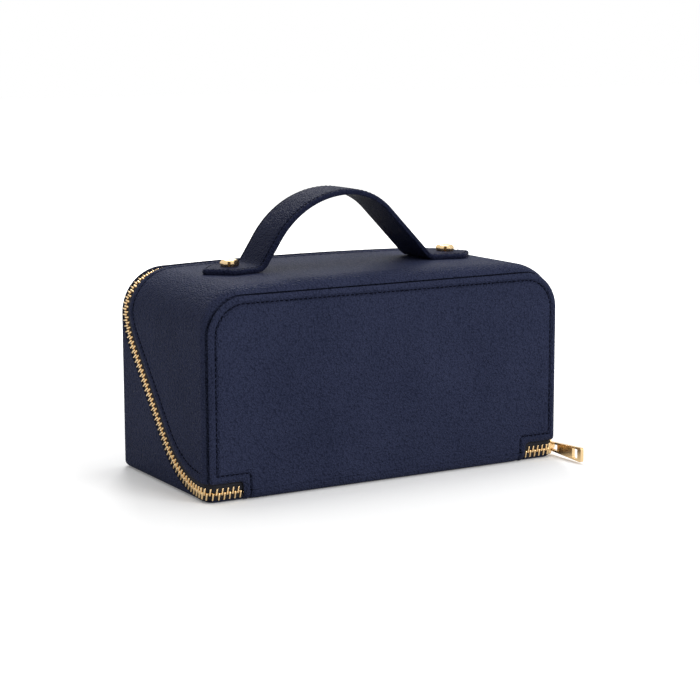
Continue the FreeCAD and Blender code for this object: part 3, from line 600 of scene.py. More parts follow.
class Scatter:
    """Geometry Nodes tree that puts copies of a piece on marked points, turned as each point says."""

    def __init__(self) -> None:
        """Builds the tree with named inputs for the copied piece, its scale and its material."""
        self.group = bpy.data.node_groups.new("copies_on_points", "GeometryNodeTree")
        self.inputs: dict[str, str] = {}
        for name, kind in (("Points", "Geometry"), ("Piece", "Object"), ("Piece Scale", "Float"),
                           ("Finish", "Material")):
            socket = self.group.interface.new_socket(name, in_out="INPUT", socket_type="NodeSocket" + kind)
            self.inputs[name] = socket.identifier
        self.group.interface.new_socket("Copies", in_out="OUTPUT", socket_type="NodeSocketGeometry")
        tree = NodeTree(self.group)
        start = tree.add("NodeGroupInput")
        end = tree.add("NodeGroupOutput")
        source = tree.add("GeometryNodeObjectInfo")
        turn = tree.add("GeometryNodeInputNamedAttribute", data_type="FLOAT_VECTOR", Name=TURN_MARK)
        rotation = tree.add("FunctionNodeEulerToRotation")
        copies = tree.add("GeometryNodeInstanceOnPoints")
        real = tree.add("GeometryNodeRealizeInstances")
        paint = tree.add("GeometryNodeSetMaterial")
        for giver, output, taker, entry in (
                (start, "Piece", source, "Object"),
                (start, "Points", copies, "Points"),
                (source, "Geometry", copies, "Instance"),
                (turn, "Attribute", rotation, "Euler"),
                (rotation, "Rotation", copies, "Rotation"),
                (start, "Piece Scale", copies, "Scale"),
                (copies, "Instances", real, "Geometry"),
                (real, "Geometry", paint, "Geometry"),
                (start, "Finish", paint, "Material"),
                (paint, "Geometry", end, "Copies")):
            tree.join(giver.outputs[output], taker.inputs[entry])

    def spread(self, name: str, piece: bpy.types.Object, places: Sequence[tuple[Vector, Matrix]],
               material: bpy.types.Material) -> bpy.types.Object:
        """Puts copies of a piece on places.

        Args:
            name: Name of the result.
            piece: Piece to copy, made on its own axes in metres.
            places: Each copy's point in millimetres and its turn.
            material: Finish of the copies.

        Returns:
            One plain mesh object with all copies.
        """
        mesh = bpy.data.meshes.new(name)
        mesh.from_pydata([tuple(point * MM) for point, _ in places], [], [])
        turns = mesh.attributes.new(TURN_MARK, "FLOAT_VECTOR", "POINT")
        for item, (_, turn) in zip(turns.data, places):
            item.vector = tuple(turn.to_euler("XYZ"))
        result = show(bpy.data.objects.new(name, mesh))
        modifier = result.modifiers.new("copies", "NODES")
        modifier.node_group = self.group
        modifier[self.inputs["Piece"]] = piece
        modifier[self.inputs["Piece Scale"]] = 1.0
        modifier[self.inputs["Finish"]] = material
        mesh = apply_modifiers(result).data
        mark = mesh.attributes.get(TURN_MARK)
        if mark is not None:
            mesh.attributes.remove(mark)
        mesh.shade_smooth()
        return result


def axes(along: Vector, across: Vector, up: Vector) -> Matrix:
    """Turn that takes X, Y and Z to three directions."""
    return Matrix((along, across, up)).transposed()


def lean(angle: float) -> Vector:
    """Direction that leans to the right from straight up by an angle."""
    return Vector((math.sin(angle), 0, math.cos(angle)))


def mirrored(point: Vector) -> Vector:
    """The same point on the other half of the case."""
    return Vector((-point.x, point.y, point.z))


def round_fall(part: float) -> float:
    """Fall of a rounded edge, from 0 where it starts to 1 at its end."""
    return 1 - math.sqrt(max(0.0, 1 - part ** 2))


@dataclass(frozen=True)
class Ridge:
    """A soft ridge along a seam or an edge, or a valley where its height is below 0."""

    middle: float
    height: float
    width: float

    def at(self, place: float) -> float:
        """Its height at a place across it."""
        return self.height * math.exp(-((place - self.middle) / self.width) ** 2)


@dataclass
class CaseForm:
    """Outline of the case and the zip's way round it."""

    half_width: float = 121.5
    gusset_front: float = -58.0
    front_face: float = -60.0
    height: float = 125.0
    corner_radius: float = 28.0
    crown_radius: float = 2700.0
    front_round: float = 7.0
    leather: float = 1.5
    chain_depth: float = 1.0
    chain_step: float = 0.5
    top_sink: float = 1.6
    zip_height: float = 5.4
    zip_start: float = -50.0
    zip_lower_radius: float = 65.0
    zip_climb: float = math.radians(49.0)
    zip_upper_radius: float = 41.0
    zip_top: float = 52.6
    lid_gap: float = 6.0
    notch_x: float = 98.5
    stop_tuck: float = 0.5

    def __post_init__(self) -> None:
        """Works out the corner's middle, the zip's straight run and its way to the notch."""
        reach = self.crown_radius - self.corner_radius
        self.corner_x = self.half_width - self.corner_radius
        self.crown_z = self.height - self.crown_radius
        self.corner_z = self.crown_z + math.sqrt(reach ** 2 - self.corner_x ** 2)
        self.crown_angle = math.asin(self.corner_x / reach)
        sine, cosine = math.sin(self.zip_climb), math.cos(self.zip_climb)
        self.centre_z = self.zip_height + self.zip_lower_radius
        self.run = (self.zip_top - self.zip_start - self.zip_lower_radius * sine
                    - self.zip_upper_radius * (1 - sine)) / cosine
        self.notch_reach = self.half_width - self.front_round - self.notch_x

    def arch(self, depth: float, angle: float) -> tuple[float, float]:
        """Point of the arched outline at a depth.

        Args:
            depth: Distance inside the outer face.
            angle: Lean of the outward side from straight up.

        Returns:
            The point's x and z.
        """
        if angle <= self.crown_angle:
            reach = self.crown_radius - depth
            return reach * math.sin(angle), self.crown_z + reach * math.cos(angle)
        reach = self.corner_radius - depth
        return self.corner_x + reach * math.sin(angle), self.corner_z + reach * math.cos(angle)

    def side_angle(self, z: float, depth: float) -> float:
        """Lean of the side wall's outward side at a height."""
        rise = (z - self.corner_z) / (self.corner_radius - depth)
        return math.acos(min(rise, 1.0)) if rise > 0 else QUARTER

    def top_angles(self, start: float, corner_steps: int, crown_steps: int) -> list[float]:
        """Leans of the outline from a place on its corner to the middle of the top.

        Args:
            start: Lean to go on from.
            corner_steps: Steps round the corner.
            crown_steps: Steps over the top.

        Returns:
            The leans after the start.
        """
        corner = self.crown_angle - start
        return ([start + corner * number / corner_steps for number in range(1, corner_steps + 1)]
                + [self.crown_angle * (1 - number / crown_steps) for number in range(1, crown_steps + 1)])

    def side_line(self, offset: float, step: float) -> list[Triple]:
        """Side view of the zip, moved to the lid's side.

        Args:
            offset: Distance from the middle of the chain, to the lid's side.
            step: Distance between points.

        Returns:
            Points (y, z, heading) from the front to the top of the back.
        """
        lower = self.zip_lower_radius - offset
        upper = self.zip_upper_radius - offset
        climb = self.zip_climb
        sine, cosine = math.sin(climb), math.cos(climb)
        points = []
        steps = max(3, round(lower * climb / step))
        for index in range(steps):
            heading = climb * index / steps
            points.append((self.zip_start + lower * math.sin(heading),
                           self.centre_z - lower * math.cos(heading), heading))
        y, z = self.zip_start + lower * sine, self.centre_z - lower * cosine
        steps = max(2, round(self.run / step))
        for index in range(steps):
            part = self.run * index / steps
            points.append((y + part * cosine, z + part * sine, climb))
        y, z = y + self.run * cosine, z + self.run * sine
        turn = QUARTER - climb
        steps = max(3, round(upper * turn / step))
        for index in range(steps + 1):
            heading = climb + turn * index / steps
            points.append((y + upper * (math.sin(heading) - sine),
                           z + upper * (cosine - math.cos(heading)), heading))
        return points

    def half_line(self, offset: float, depth: float, step: float, front: float) -> Line:
        """Line on the right half that keeps beside the chain, from the front to the top's middle.

        Args:
            offset: Distance from the middle of the chain, to the lid's side.
            depth: Distance inside the outer face.
            step: Distance between points.
            front: How far in from the corner it goes along the front.

        Returns:
            Points with the outward side there.
        """
        reach = self.front_round - depth
        turn = Vector((self.half_width - self.front_round, self.gusset_front + self.front_round,
                       self.zip_height + offset))
        points: Line = [(turn - Vector((front, reach, 0)), Vector((0, -1, 0)))]
        steps = max(4, round(reach * QUARTER / step))
        for index in range(steps):
            angle = QUARTER * (1 - index / steps)
            normal = Vector((math.cos(angle), -math.sin(angle), 0))
            points.append((turn + normal * reach, normal))
        for y, z, _ in self.side_line(offset, step):
            angle = self.side_angle(z, depth)
            points.append((Vector((self.arch(depth, angle)[0], y, z)), lean(angle)))
        last = points[-1][0]
        start = self.side_angle(last.z, depth)
        corner = self.corner_radius * (start - self.crown_angle)
        length = corner + self.crown_radius * self.crown_angle
        steps = round(length / step)
        corner_steps = round(steps * corner / length)
        for angle in self.top_angles(start, corner_steps, steps - corner_steps):
            x, z = self.arch(depth, angle)
            points.append((Vector((x, last.y, z)), lean(angle)))
        return points

    def whole_line(self, offset: float, depth: float, step: float, front: float) -> Line:
        """The half line from its left end, over the top, to its right end."""
        right = self.half_line(offset, depth, step, front)
        return [(mirrored(point), mirrored(side)) for point, side in right[:-1]] + right[::-1]

    def chain(self, step: float, front: float) -> list[tuple[Vector, Vector, Vector]]:
        """Even places along the middle of the zip's chain, sunk where it crosses the top.

        Args:
            step: Distance between places.
            front: How far in from the corners the chain goes along the front.

        Returns:
            Point, heading and outward side of each place.
        """
        line = self.whole_line(0.0, self.chain_depth, self.chain_step, front)
        return [(point - side * self.top_sink * side.z ** 2, heading, side)
                for point, heading, side in framed(line, step)]


@dataclass
class Threads:
    """Sewing thread: one stitch, and rows of it."""

    finishes: Finishes
    scatter: Scatter
    length: float = 2.3
    radius: float = 0.34
    pitch: float = 3.1
    flatness: float = 1.15
    sag: float = 2.4
    sides: int = 8
    shape: tuple[tuple[float, float], ...] = (
        (-0.5, 0.15), (-0.42, 0.7), (-0.2, 1.0), (0.2, 1.0), (0.42, 0.7), (0.5, 0.15))

    def __post_init__(self) -> None:
        """Makes the stitch that all rows copy."""
        loops = []
        for part, girth in self.shape:
            size = girth * self.radius
            drop = part ** 2 * self.radius * self.sag
            turns = [2 * math.pi * number / self.sides for number in range(self.sides)]
            loops.append([Vector((part * self.length, size * self.flatness * math.cos(turn),
                                  size * math.sin(turn) - drop)) for turn in turns])
        self.stitch = skin("stitch_pattern", loops, self.finishes.thread)
        bpy.context.scene.collection.objects.unlink(self.stitch)

    def row(self, name: str, line: Line, lift: float, body: Body) -> None:
        """Sews a row of stitches.

        Args:
            name: Name of the row.
            line: Points with the outward side there.
            lift: Height of the stitches over the line.
            body: Body that carries the row.
        """
        places = [(point + side * lift, axes(heading, side.cross(heading), side))
                  for point, heading, side in framed(line, self.pitch)]
        settle(self.scatter.spread(name, self.stitch, places, self.finishes.thread), body, Slot.LEATHER)


def straight(start: tuple[float, float], end: tuple[float, float], count: int) -> list[tuple[float, float]]:
    """Evenly spaced points from a start up to, but without, an end."""
    parts = [number / count for number in range(count)]
    return [(start[0] + (end[0] - start[0]) * part, start[1] + (end[1] - start[1]) * part) for part in parts]


def arc(middle: tuple[float, float], radius: float, begin: float, finish: float,
        count: int) -> list[tuple[float, float]]:
    """Evenly spaced points on an arc, its angles in degrees, without its last point."""
    angles = [math.radians(begin + (finish - begin) * number / count) for number in range(count)]
    return [(middle[0] + radius * math.cos(angle), middle[1] + radius * math.sin(angle)) for angle in angles]


@dataclass
class FrontPanel:
    """Stitched front panel and the leather fold at its foot."""

    form: CaseForm
    finishes: Finishes
    threads: Threads
    half_width: float = 120.0
    top: float = 118.1
    bottom: float = 6.2
    corner_radius: float = 23.0
    foot_radius: float = 2.0
    least_radius: float = 0.02
    notch_height: float = 11.5
    notch_radius: float = 2.5
    thickness: float = 1.5
    edge_round: float = 2.5
    edge_left: float = 0.25
    seam: Ridge = Ridge(4.4, -1.0, 0.6)
    band: Ridge = Ridge(2.3, 0.7, 0.95)
    stitch_lift: float = 0.12
    pillow_height: float = 0.55
    pillow_start: float = 4.6
    pillow_end: float = 10.0
    pillow_run: float = 1.8
    face_sink: float = 0.2
    back_inset: float = 0.1
    rings: tuple[float, ...] = (0.0, 0.12, 0.45, 0.95, 1.6, 2.5, 3.4, 3.9, 4.15, 4.4, 4.65, 4.9, 5.5, 6.6,
                                8.5, 10.0, 10.9, 11.8)
    long_steps: int = 24
    rise_steps: int = 3
    notch_steps: int = 8
    toe_steps: int = 6
    foot_steps: int = 5
    corner_steps: int = 20
    fold_radius: float = 6.0
    fold_y: float = -54.0
    fold_margin: float = 0.2
    fold_begin: float = 178.0
    fold_finish: float = 272.0
    fold_fade: float = 45.0
    fold_steps: int = 24
    fold_columns: int = 30

    def relief(self, inset: float) -> float:
        """Height of the leather's face over the panel's plane.

        Args:
            inset: Distance from the panel's edge.

        Returns:
            The height, below 0 where the face is sunk.
        """
        edge = round_fall(max(0.0, 1 - inset / self.edge_round)) * (self.thickness - self.edge_left)
        swollen = max(0.0, min(inset, self.pillow_end) - self.pillow_start)
        pillow = self.pillow_height * (1 - math.exp(-swollen / self.pillow_run))
        return self.seam.at(inset) + pillow + self.band.at(inset) - edge - self.face_sink

    def ring(self, inset: float) -> list[tuple[float, float]]:
        """Closed outline of the panel, from the middle of its foot, anticlockwise.

        Args:
            inset: Distance from the panel's edge.

        Returns:
            Points (x, z).
        """
        inner = self.form.notch_x - inset
        outer = self.half_width - inset
        step = self.notch_height + inset
        top = self.top - inset
        notch = self.notch_radius
        foot = max(self.foot_radius - inset, self.least_radius)
        corner = self.corner_radius - inset
        half = [*straight((0.0, self.bottom), (inner, self.bottom), self.long_steps),
                *straight((inner, self.bottom), (inner, step - notch), self.rise_steps),
                *arc((inner + notch, step - notch), notch, 180, 90, self.notch_steps),
                *straight((inner + notch, step), (outer - foot, step), self.toe_steps),
                *arc((outer - foot, step + foot), foot, 270, 360, self.foot_steps),
                *straight((outer, step + foot), (outer, top - corner), self.long_steps),
                *arc((outer - corner, top - corner), corner, 0, 90, self.corner_steps),
                *straight((outer - corner, top), (0.0, top), self.long_steps)]
        return half + [(0.0, top)] + [(-x, z) for x, z in reversed(half[1:])]

    def level(self, inset: float, y: float) -> list[Vector]:
        """The outline at an inset, as points at a depth."""
        return [Vector((x, y, z)) for x, z in self.ring(inset)]

    def build(self) -> None:
        """Makes the panel, its stitches and the fold."""
        front = self.form.front_face
        loops = [self.level(self.back_inset, front + self.thickness)]
        loops += [self.level(inset, front - self.relief(inset)) for inset in self.rings]
        panel = skin("front_panel_leather", loops, self.finishes.leather)
        settle(panel, Body.LID, Slot.LEATHER, "front_panel")
        seam = self.level(self.seam.middle, front - self.relief(self.seam.middle))
        sewn = seam[self.long_steps:len(seam) - self.long_steps + 1]
        line = [(point, Vector((0, -1, 0))) for point in sewn]
        self.threads.row("front_panel_stitches", line, self.stitch_lift, Body.LID)
        self.build_fold()

    def fold_point(self, x: float, turn: float, radius: float) -> Vector:
        """Point of the fold.

        Args:
            x: Place along the fold.
            turn: Angle round its middle line, in degrees.
            radius: Distance from its middle line.

        Returns:
            The point.
        """
        angle = math.radians(turn)
        return Vector((x, self.fold_y + radius * math.cos(angle),
                       self.fold_radius + radius * math.sin(angle)))

    def build_fold(self) -> None:
        """Makes the leather fold between the base and the lid."""
        half = self.form.notch_x - self.fold_margin
        flat = half - self.rings[-1]
        stations = [inset - half for inset in self.rings]
        stations += [flat * (2 * part / self.fold_columns - 1) for part in range(1, self.fold_columns)]
        stations += [half - inset for inset in reversed(self.rings)]
        sweep = self.fold_finish - self.fold_begin
        turns = [self.fold_begin + sweep * number / self.fold_steps for number in range(self.fold_steps + 1)]
        loops = []
        for x in stations:
            rise = self.relief(half - abs(x))
            fades = [min(1.0, (self.fold_finish - turn) / self.fold_fade) for turn in turns]
            outer = [self.fold_radius + rise * fade for fade in fades]
            inner = self.fold_radius - self.thickness
            loops.append([self.fold_point(x, turn, radius) for turn, radius in zip(turns, outer)]
                         + [self.fold_point(x, turn, inner) for turn in reversed(turns)])
        fold = skin("front_fold_leather", loops, self.finishes.leather)
        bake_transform(fold)
        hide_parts("fold_hinge")
        LOG.info("%s bends between %s and %s", fold.name, Body.BASE.value, Body.LID.value)


@dataclass
class Gusset:
    """Leather of the lid's top and sides, rolled round the front panel and bound along the zip."""

    form: CaseForm
    finishes: Finishes
    threads: Threads
    panel: FrontPanel
    seam: Ridge = Ridge(5.2, -0.6, 0.8)
    lip: Ridge = Ridge(2.6, 0.45, 1.6)
    seam_marks: tuple[float, ...] = (9.0, 7.2, 6.2, 5.6, 5.2, 4.8, 4.2, 3.3, 2.2, 1.2, 0.5)
    stitch_sink: float = -0.36
    row_step: float = 2.2
    fine_step: float = 1.0
    groove_y: float = -55.6
    groove: float = 0.75
    groove_turn: float = -0.36
    groove_wall: float = 0.9
    groove_floor: float = 1.2
    groove_share: float = 0.6
    tuck: float = 3.4
    inner_turn: float = 1.8
    inner_drop: float = 0.3
    bound_share: float = 0.6
    bound_back: float = 1.0
    near_share: float = 0.9
    near_step: float = 0.05
    top_pillow: float = 5.5
    least_roll: float = 0.5
    least_slope: float = 0.08
    relief_fade: float = 4.0
    corner_rows: int = 14
    crown_rows: int = 20
    roll_steps: int = 8
    flat_steps: int = 15
    bound_steps: int = 4
    front_marks: int = 8
    top_marks: int = 30

    def panel_inset(self, angle: float, z: float) -> float:
        """Distance from the case's face to the panel's edge, along the face's inward side.

        Args:
            angle: Lean of the face's outward side.
            z: Height of the face.

        Returns:
            The distance.
        """
        form, panel = self.form, self.panel
        if angle <= form.crown_angle:
            return z - panel.top
        if angle >= QUARTER - SAME_POINT:
            return form.half_width - panel.half_width
        dx = panel.half_width - panel.corner_radius - form.corner_x
        dz = panel.top - panel.corner_radius - form.corner_z
        along = dx * math.sin(angle) + dz * math.cos(angle)
        reach = along + math.sqrt(panel.corner_radius ** 2 - dx * dx - dz * dz + along * along)
        return form.corner_radius - reach

    def section(self, angle: float, z: float, y_edge: float, heading: float,
                distance: Callable[[float, float], float]) -> list[Vector]:
        """Closed cross-section of the leather along Y.

        Args:
            angle: Lean of the wall's outward side.
            z: Height of the wall's outer face.
            y_edge: Place of the leather's edge at the zip.
            heading: Slope of that edge in the side view.
            distance: Distance from the edge at a place in the side view.

        Returns:
            The loop of points on the right half.
        """
        form = self.form
        reach = form.front_round + self.top_pillow * max(0.0, math.cos(angle)) ** 2
        soft_y = form.gusset_front + reach
        turn_y = form.gusset_front + form.front_round
        inset = self.panel_inset(angle, z)
        profile = [(self.groove_y, inset + self.tuck),
                   (self.groove_y, inset - self.groove * self.groove_share)]
        meet = math.acos(max(0.0, 1 - max(inset - self.groove, self.least_roll) / form.front_round))
        for number in range(self.roll_steps + 1):
            turn = meet * (1 - number / self.roll_steps)
            profile.append((soft_y - reach * math.sin(turn), form.front_round * (1 - math.cos(turn))))
        room = y_edge - soft_y
        slope = max(math.sin(heading), self.least_slope)
        near = [min(room * (self.near_share - self.near_step * number), away / slope)
                for number, away in enumerate(self.seam_marks)]
        flat = (room - near[0]) / self.flat_steps
        outside = [soft_y + flat * number for number in range(1, self.flat_steps)]
        for y in outside + [y_edge - gap for gap in near]:
            away = distance(y, z)
            relief = self.seam.at(away) + self.lip.at(away)
            profile.append((y, -relief * min(1.0, (y - soft_y) / self.relief_fade)))
        radius = form.leather / 2
        steps = self.bound_steps
        for number in range(steps + 1):
            turn = math.pi * number / steps
            profile.append((y_edge - radius * self.bound_share * (1 - math.sin(turn)),
                            radius * (1 - math.cos(turn))))
        back = y_edge - self.bound_back
        profile += [(back - (back - turn_y) * number / steps, form.leather) for number in range(1, steps + 1)]
        wall_y = self.groove_y + self.groove_wall
        profile += [(turn_y - self.inner_turn, form.leather + self.inner_drop),
                    (wall_y, inset + self.groove_floor), (wall_y, inset + self.tuck)]
        face = Vector((form.arch(0.0, angle)[0], 0, z))
        return [face - lean(angle) * depth + Vector((0, y, 0)) for y, depth in profile]

    def build(self) -> None:
        """Makes the leather and its row of stitches beside the zip."""
        form = self.form
        edge = form.side_line(form.lid_gap, self.row_step)
        fine = [(y, z) for y, z, _ in form.side_line(form.lid_gap, self.fine_step)]
        y_top, z_top, _ = edge[-1]
        z_front = form.zip_height + form.lid_gap
        fine += [(form.gusset_front + mark, z_front) for mark in range(self.front_marks)]
        fine += [(y_top, z_top + mark) for mark in range(1, self.top_marks)]

        def from_edge(y: float, z: float) -> float:
            """Distance from the edge that climbs the side."""
            return min(math.hypot(y - edge_y, z - edge_z) for edge_y, edge_z in fine)

        def from_top_edge(y: float, z: float) -> float:
            """Distance from the straight edge on the top."""
            return abs(y_top - y)

        loops = [self.section(form.side_angle(z, 0.0), z, y, heading, from_edge) for y, z, heading in edge]
        for angle in form.top_angles(form.side_angle(z_top, 0.0), self.corner_rows, self.crown_rows):
            loops.append(self.section(angle, form.arch(0.0, angle)[1], y_top, QUARTER, from_top_edge))
        left = [[mirrored(point) for point in loop] for loop in loops[:-1]]
        leather = skin("lid_gusset_leather", left + loops[::-1], self.finishes.leather)
        settle(leather, Body.LID, Slot.LEATHER, "lid_cover")
        line = form.whole_line(form.lid_gap + self.seam.middle, 0.0, self.fine_step, 0.0)
        line = [(point, side) for point, side in line if side.y > self.groove_turn]
        self.threads.row("lid_zip_stitches", line, self.stitch_sink, Body.LID)


@dataclass
class BaseLeather:
    """Leather of the bottom, the back and the lower sides."""

    finishes: Finishes
    edge: float = 0.65

    def build(self) -> None:
        """Makes the base's leather with rounded edges."""
        cover = softened("base_cover", "base_leather", self.finishes.leather, self.edge, 3)
        settle(cover, Body.BASE, Slot.LEATHER, "base_cover")


@dataclass
class ZipChain:
    """Tapes, teeth and end stops of the zip.

    The short ends of both rows along the front stay with the base, where the cloth bends as the lid opens.
    """

    form: CaseForm
    finishes: Finishes
    scatter: Scatter
    pitch: float = 3.4
    tooth_length: float = 4.5
    tooth_reach: float = 0.95
    tooth_width: float = 1.15
    tooth_height: float = 2.6
    tooth_shear: float = 0.15
    tooth_corner: float = 0.32
    tape_edge: float = 0.95
    tape_half: float = 0.33
    tape_step: float = 1.6
    tape_tuck: float = 4.0
    tape_columns: int = 4
    upper_reach: float = 8.5
    lower_reach: float = 4.4
    stub_y: float = -52.5
    stub_reach: float = 3.3
    stop_room: float = 1.0
    stop_edge: float = 0.2
    slider_x: float = 119.55
    slider_y: float = -51.5
    slider_room: float = 2.3

    def tooth(self) -> bpy.types.Object:
        """One tooth on its own axes: X along the chain, Y away from its middle, Z outwards.

        Returns:
            The tooth, not in the scene.
        """
        tip = -self.tooth_reach
        tail = self.tooth_length - self.tooth_reach
        corner = self.tooth_corner
        loops = []
        for place, wide, high in (
                (tip, 0.7, 0.55), (tip + 0.35, 1.1, 0.92), (0.4, 1.05, 1.0), (1.3, 0.82, 0.94),
                (tail - 0.6, 0.86, 0.97), (tail - 0.18, 0.8, 0.86), (tail, 0.5, 0.5)):
            x, z = self.tooth_width / 2 * wide, self.tooth_height / 2 * high
            slant = place * self.tooth_shear
            loops.append([Vector((u + slant, place, v)) for u, v in (
                (x, z - corner), (x - corner, z), (-x + corner, z), (-x, z - corner),
                (-x, -z + corner), (-x + corner, -z), (x - corner, -z), (x, -z + corner))])
        piece = skin("tooth_pattern", loops, self.finishes.gold)
        bpy.context.scene.collection.objects.unlink(piece)
        return piece

    def tape(self, name: str, side: float, reach: float, body: Body, node: str) -> None:
        """Makes one tape beside the chain.

        Args:
            name: Name of the tape.
            side: 1 for the lid's tape, -1 for the base's.
            reach: Its far edge, from the middle of the chain.
            body: Body that carries it.
            node: Node that it replaces.
        """
        left: list[list[Vector]] = []
        main_run: list[list[Vector]] = []
        right: list[list[Vector]] = []
        for point, heading, normal in self.form.chain(self.tape_step, self.form.notch_reach + self.tape_tuck):
            at_front = point.y < self.stub_y
            far = self.stub_reach if at_front and side < 0 else reach
            column = (far - self.tape_edge) / self.tape_columns
            gaps = [self.tape_edge + column * part for part in range(self.tape_columns + 1)]
            away = heading.cross(normal) * side
            top = [point + away * gap + normal * self.tape_half for gap in gaps]
            under = [point + away * gap - normal * self.tape_half for gap in reversed(gaps)]
            end = left if point.x < 0 else right
            (end if at_front else main_run).append(top + under)
        settle(skin(name, main_run, self.finishes.tape), body, Slot.TAPE, node)
        for run, end in ((left + main_run[:1], "left"), (main_run[-1:] + right, "right")):
            settle(skin(f"{name}_{end}_end", run, self.finishes.tape), Body.BASE, Slot.TAPE)

    def build(self) -> None:
        """Makes the tapes, both rows of teeth and the stops."""
        form = self.form
        self.tape("upper_tape_cloth", 1.0, self.upper_reach, Body.LID, "upper_zip_tape")
        self.tape("lower_tape_cloth", -1.0, self.lower_reach, Body.BASE, "lower_zip_tape")
        tooth = self.tooth()
        front = form.notch_reach + form.stop_tuck - self.stop_room
        upper: list[tuple[Vector, Matrix]] = []
        lower: list[tuple[Vector, Matrix]] = []
        wedge = Vector((self.slider_x, self.slider_y, form.zip_height))
        for number, (point, heading, normal) in enumerate(form.chain(self.pitch / 2, front)):
            if (point - wedge).length < self.slider_room:
                continue
            side = 1.0 if number % 2 else -1.0
            away = heading.cross(normal) * side
            row = upper if side > 0 and point.y > self.stub_y else lower
            row.append((point, axes(away.cross(normal), away, normal)))
        for name, row, body, node in (("upper_teeth", upper, Body.LID, "upper_zip_teeth"),
                                      ("lower_teeth", lower, Body.BASE, "lower_zip_teeth")):
            settle(self.scatter.spread(name, tooth, row, self.finishes.gold), body, Slot.GOLD, node)
        stops = softened("zip_end_stops", "chain_end_stops", self.finishes.gold, self.stop_edge)
        settle(stops, Body.BASE, Slot.GOLD, "zip_end_stops")


@dataclass
class Handle:
    """Strap handle: a padded leather strap with tongue ends, sewn near its edges and screwed down."""

    form: CaseForm
    finishes: Finishes
    threads: Threads
    half_width: float = 16.5
    thickness: float = 3.3
    seat_gap: float = 0.05
    tip: float = 93.6
    tip_lean: float = math.radians(50.0)
    tip_radius: float = 4.0
    tip_gaps: tuple[float, ...] = (0.02, 0.15, 0.4, 0.8)
    tip_round: float = 1.4
    tip_slim: float = 0.3
    shoulder_radius: float = 8.0
    top: float = 171.0
    left_bend: float = -66.0
    bend_radius: float = 9.0
    left_lean: float = math.radians(57.0)
    left_radius: float = 56.0
    right_lean: float = math.radians(46.0)
    right_radius: float = 38.0
    run_step: float = 1.2
    bend_step: float = 1.4
    edge_round: float = 2.0
    edge_share: float = 0.8
    edge_middle: float = 0.45
    crown_height: float = 0.35
    crown_run: float = 5.0
    face_sink: float = 0.15
    seam: Ridge = Ridge(2.5, -0.38, 0.45)
    seam_half: float = 4.5
    least_half: float = 0.25
    least_gap: float = 0.001
    rim_out: float = 0.02
    rim_top: float = 0.62
    rim_groove: float = 0.25
    rim_middle: float = 0.5
    rim_low: float = 0.36
    foot_in: float = 0.35
    foot_height: float = 0.25
    sole_in: float = 1.2
    sole_share: float = 0.5
    sewn_end: float = 1.3
    sewn_half: float = 0.2
    across_marks: tuple[float, ...] = (0.0, 0.5, 1.1, 1.75, 2.2, 2.5, 2.8, 3.4, 6.0, 10.0, 16.5)
    screw_place: float = 76.0
    head_reach: float = 5.0
    head_sink: float = 0.3
    head_levels: tuple[Triple, ...] = (
        (0.0, 0.88, 0.0), (0.9, 0.95, 0.0), (1.9, 1.0, 0.0), (2.9, 1.0, 0.0), (3.7, 0.93, 0.1),
        (4.3, 0.82, 0.3), (4.45, 0.76, 0.4), (4.45, 0.66, 0.5))
    head_step: int = 10
    head_side: int = 60
    notch_turn: int = 240
    notch_top: float = 3.0
    notch_share: float = 0.78
    post_edge: float = 0.2

    def __post_init__(self) -> None:
        """Works out how the tabs lie on the top."""
        crown = self.form.crown_radius
        self.tilt = math.asin(self.screw_place / crown)
        self.seat_z = self.form.crown_z + (crown + self.seat_gap) * math.cos(self.tilt)

    def tab(self, x: float) -> float:
        """Height of the strap's underside on a tab."""
        return self.seat_z - (abs(x) - self.screw_place) * math.tan(self.tilt)

    def stretch(self, start: Triple, size: float, turn: float) -> list[Triple]:
        """Points of a straight run or of a bend.

        Args:
            start: Point and heading that it goes on from.
            size: Length of a run or radius of a bend.
            turn: Angle of a bend, 0 for a run.

        Returns:
            Points (x, z, heading) after the start.
        """
        x, z, heading = start
        if turn == 0:
            steps = max(2, round(size / self.run_step))
            gaps = [size * number / steps for number in range(1, steps + 1)]
            return [(x + gap * math.cos(heading), z + gap * math.sin(heading), heading) for gap in gaps]
        radius = math.copysign(size, turn)
        steps = max(6, round(size * abs(turn) / self.bend_step))
        angles = [heading + turn * number / steps for number in range(1, steps + 1)]
        return [(x + radius * (math.sin(angle) - math.sin(heading)),
                 z - radius * (math.cos(angle) - math.cos(heading)), angle) for angle in angles]

    def route(self) -> list[Triple]:
        """Underside of the strap from the left tip to the right tip.

        Returns:
            Points (x, z, heading).
        """
        tilt, rise = self.tilt, math.tan(self.tilt)
        bend, left, right = self.bend_radius, self.left_radius, self.right_radius
        left_sine, left_cosine = math.sin(self.left_lean), math.cos(self.left_lean)
        right_sine, right_cosine = math.sin(self.right_lean), math.cos(self.right_lean)
        crest = self.top - self.thickness
        climb = bend * (math.cos(tilt) - left_cosine) + left * (1 - left_cosine)
        left_run = (crest - self.tab(self.left_bend) - climb) / left_sine
        crest_x = (self.left_bend + bend * (left_sine - math.sin(tilt)) + left_run * left_cosine
                   + left * left_sine)
        drop = right * (1 - right_cosine) + bend * (math.cos(tilt) - right_cosine)
        reach = crest_x + right * right_sine + bend * (right_sine - math.sin(tilt))
        right_run = (crest - drop - self.tab(reach)) / (right_sine - rise * right_cosine)
        right_end = reach + right_run * right_cosine
        points = [(-self.tip, self.tab(self.tip), tilt)]
        for size, turn in (((self.left_bend + self.tip) / math.cos(tilt), 0.0), (bend, self.left_lean - tilt),
                           (left_run, 0.0), (left, -self.left_lean), (right, -self.right_lean),
                           (right_run, 0.0), (bend, self.right_lean - tilt),
                           ((self.tip - right_end) / math.cos(tilt), 0.0)):
            points += self.stretch(points[-1], size, turn)
        return points

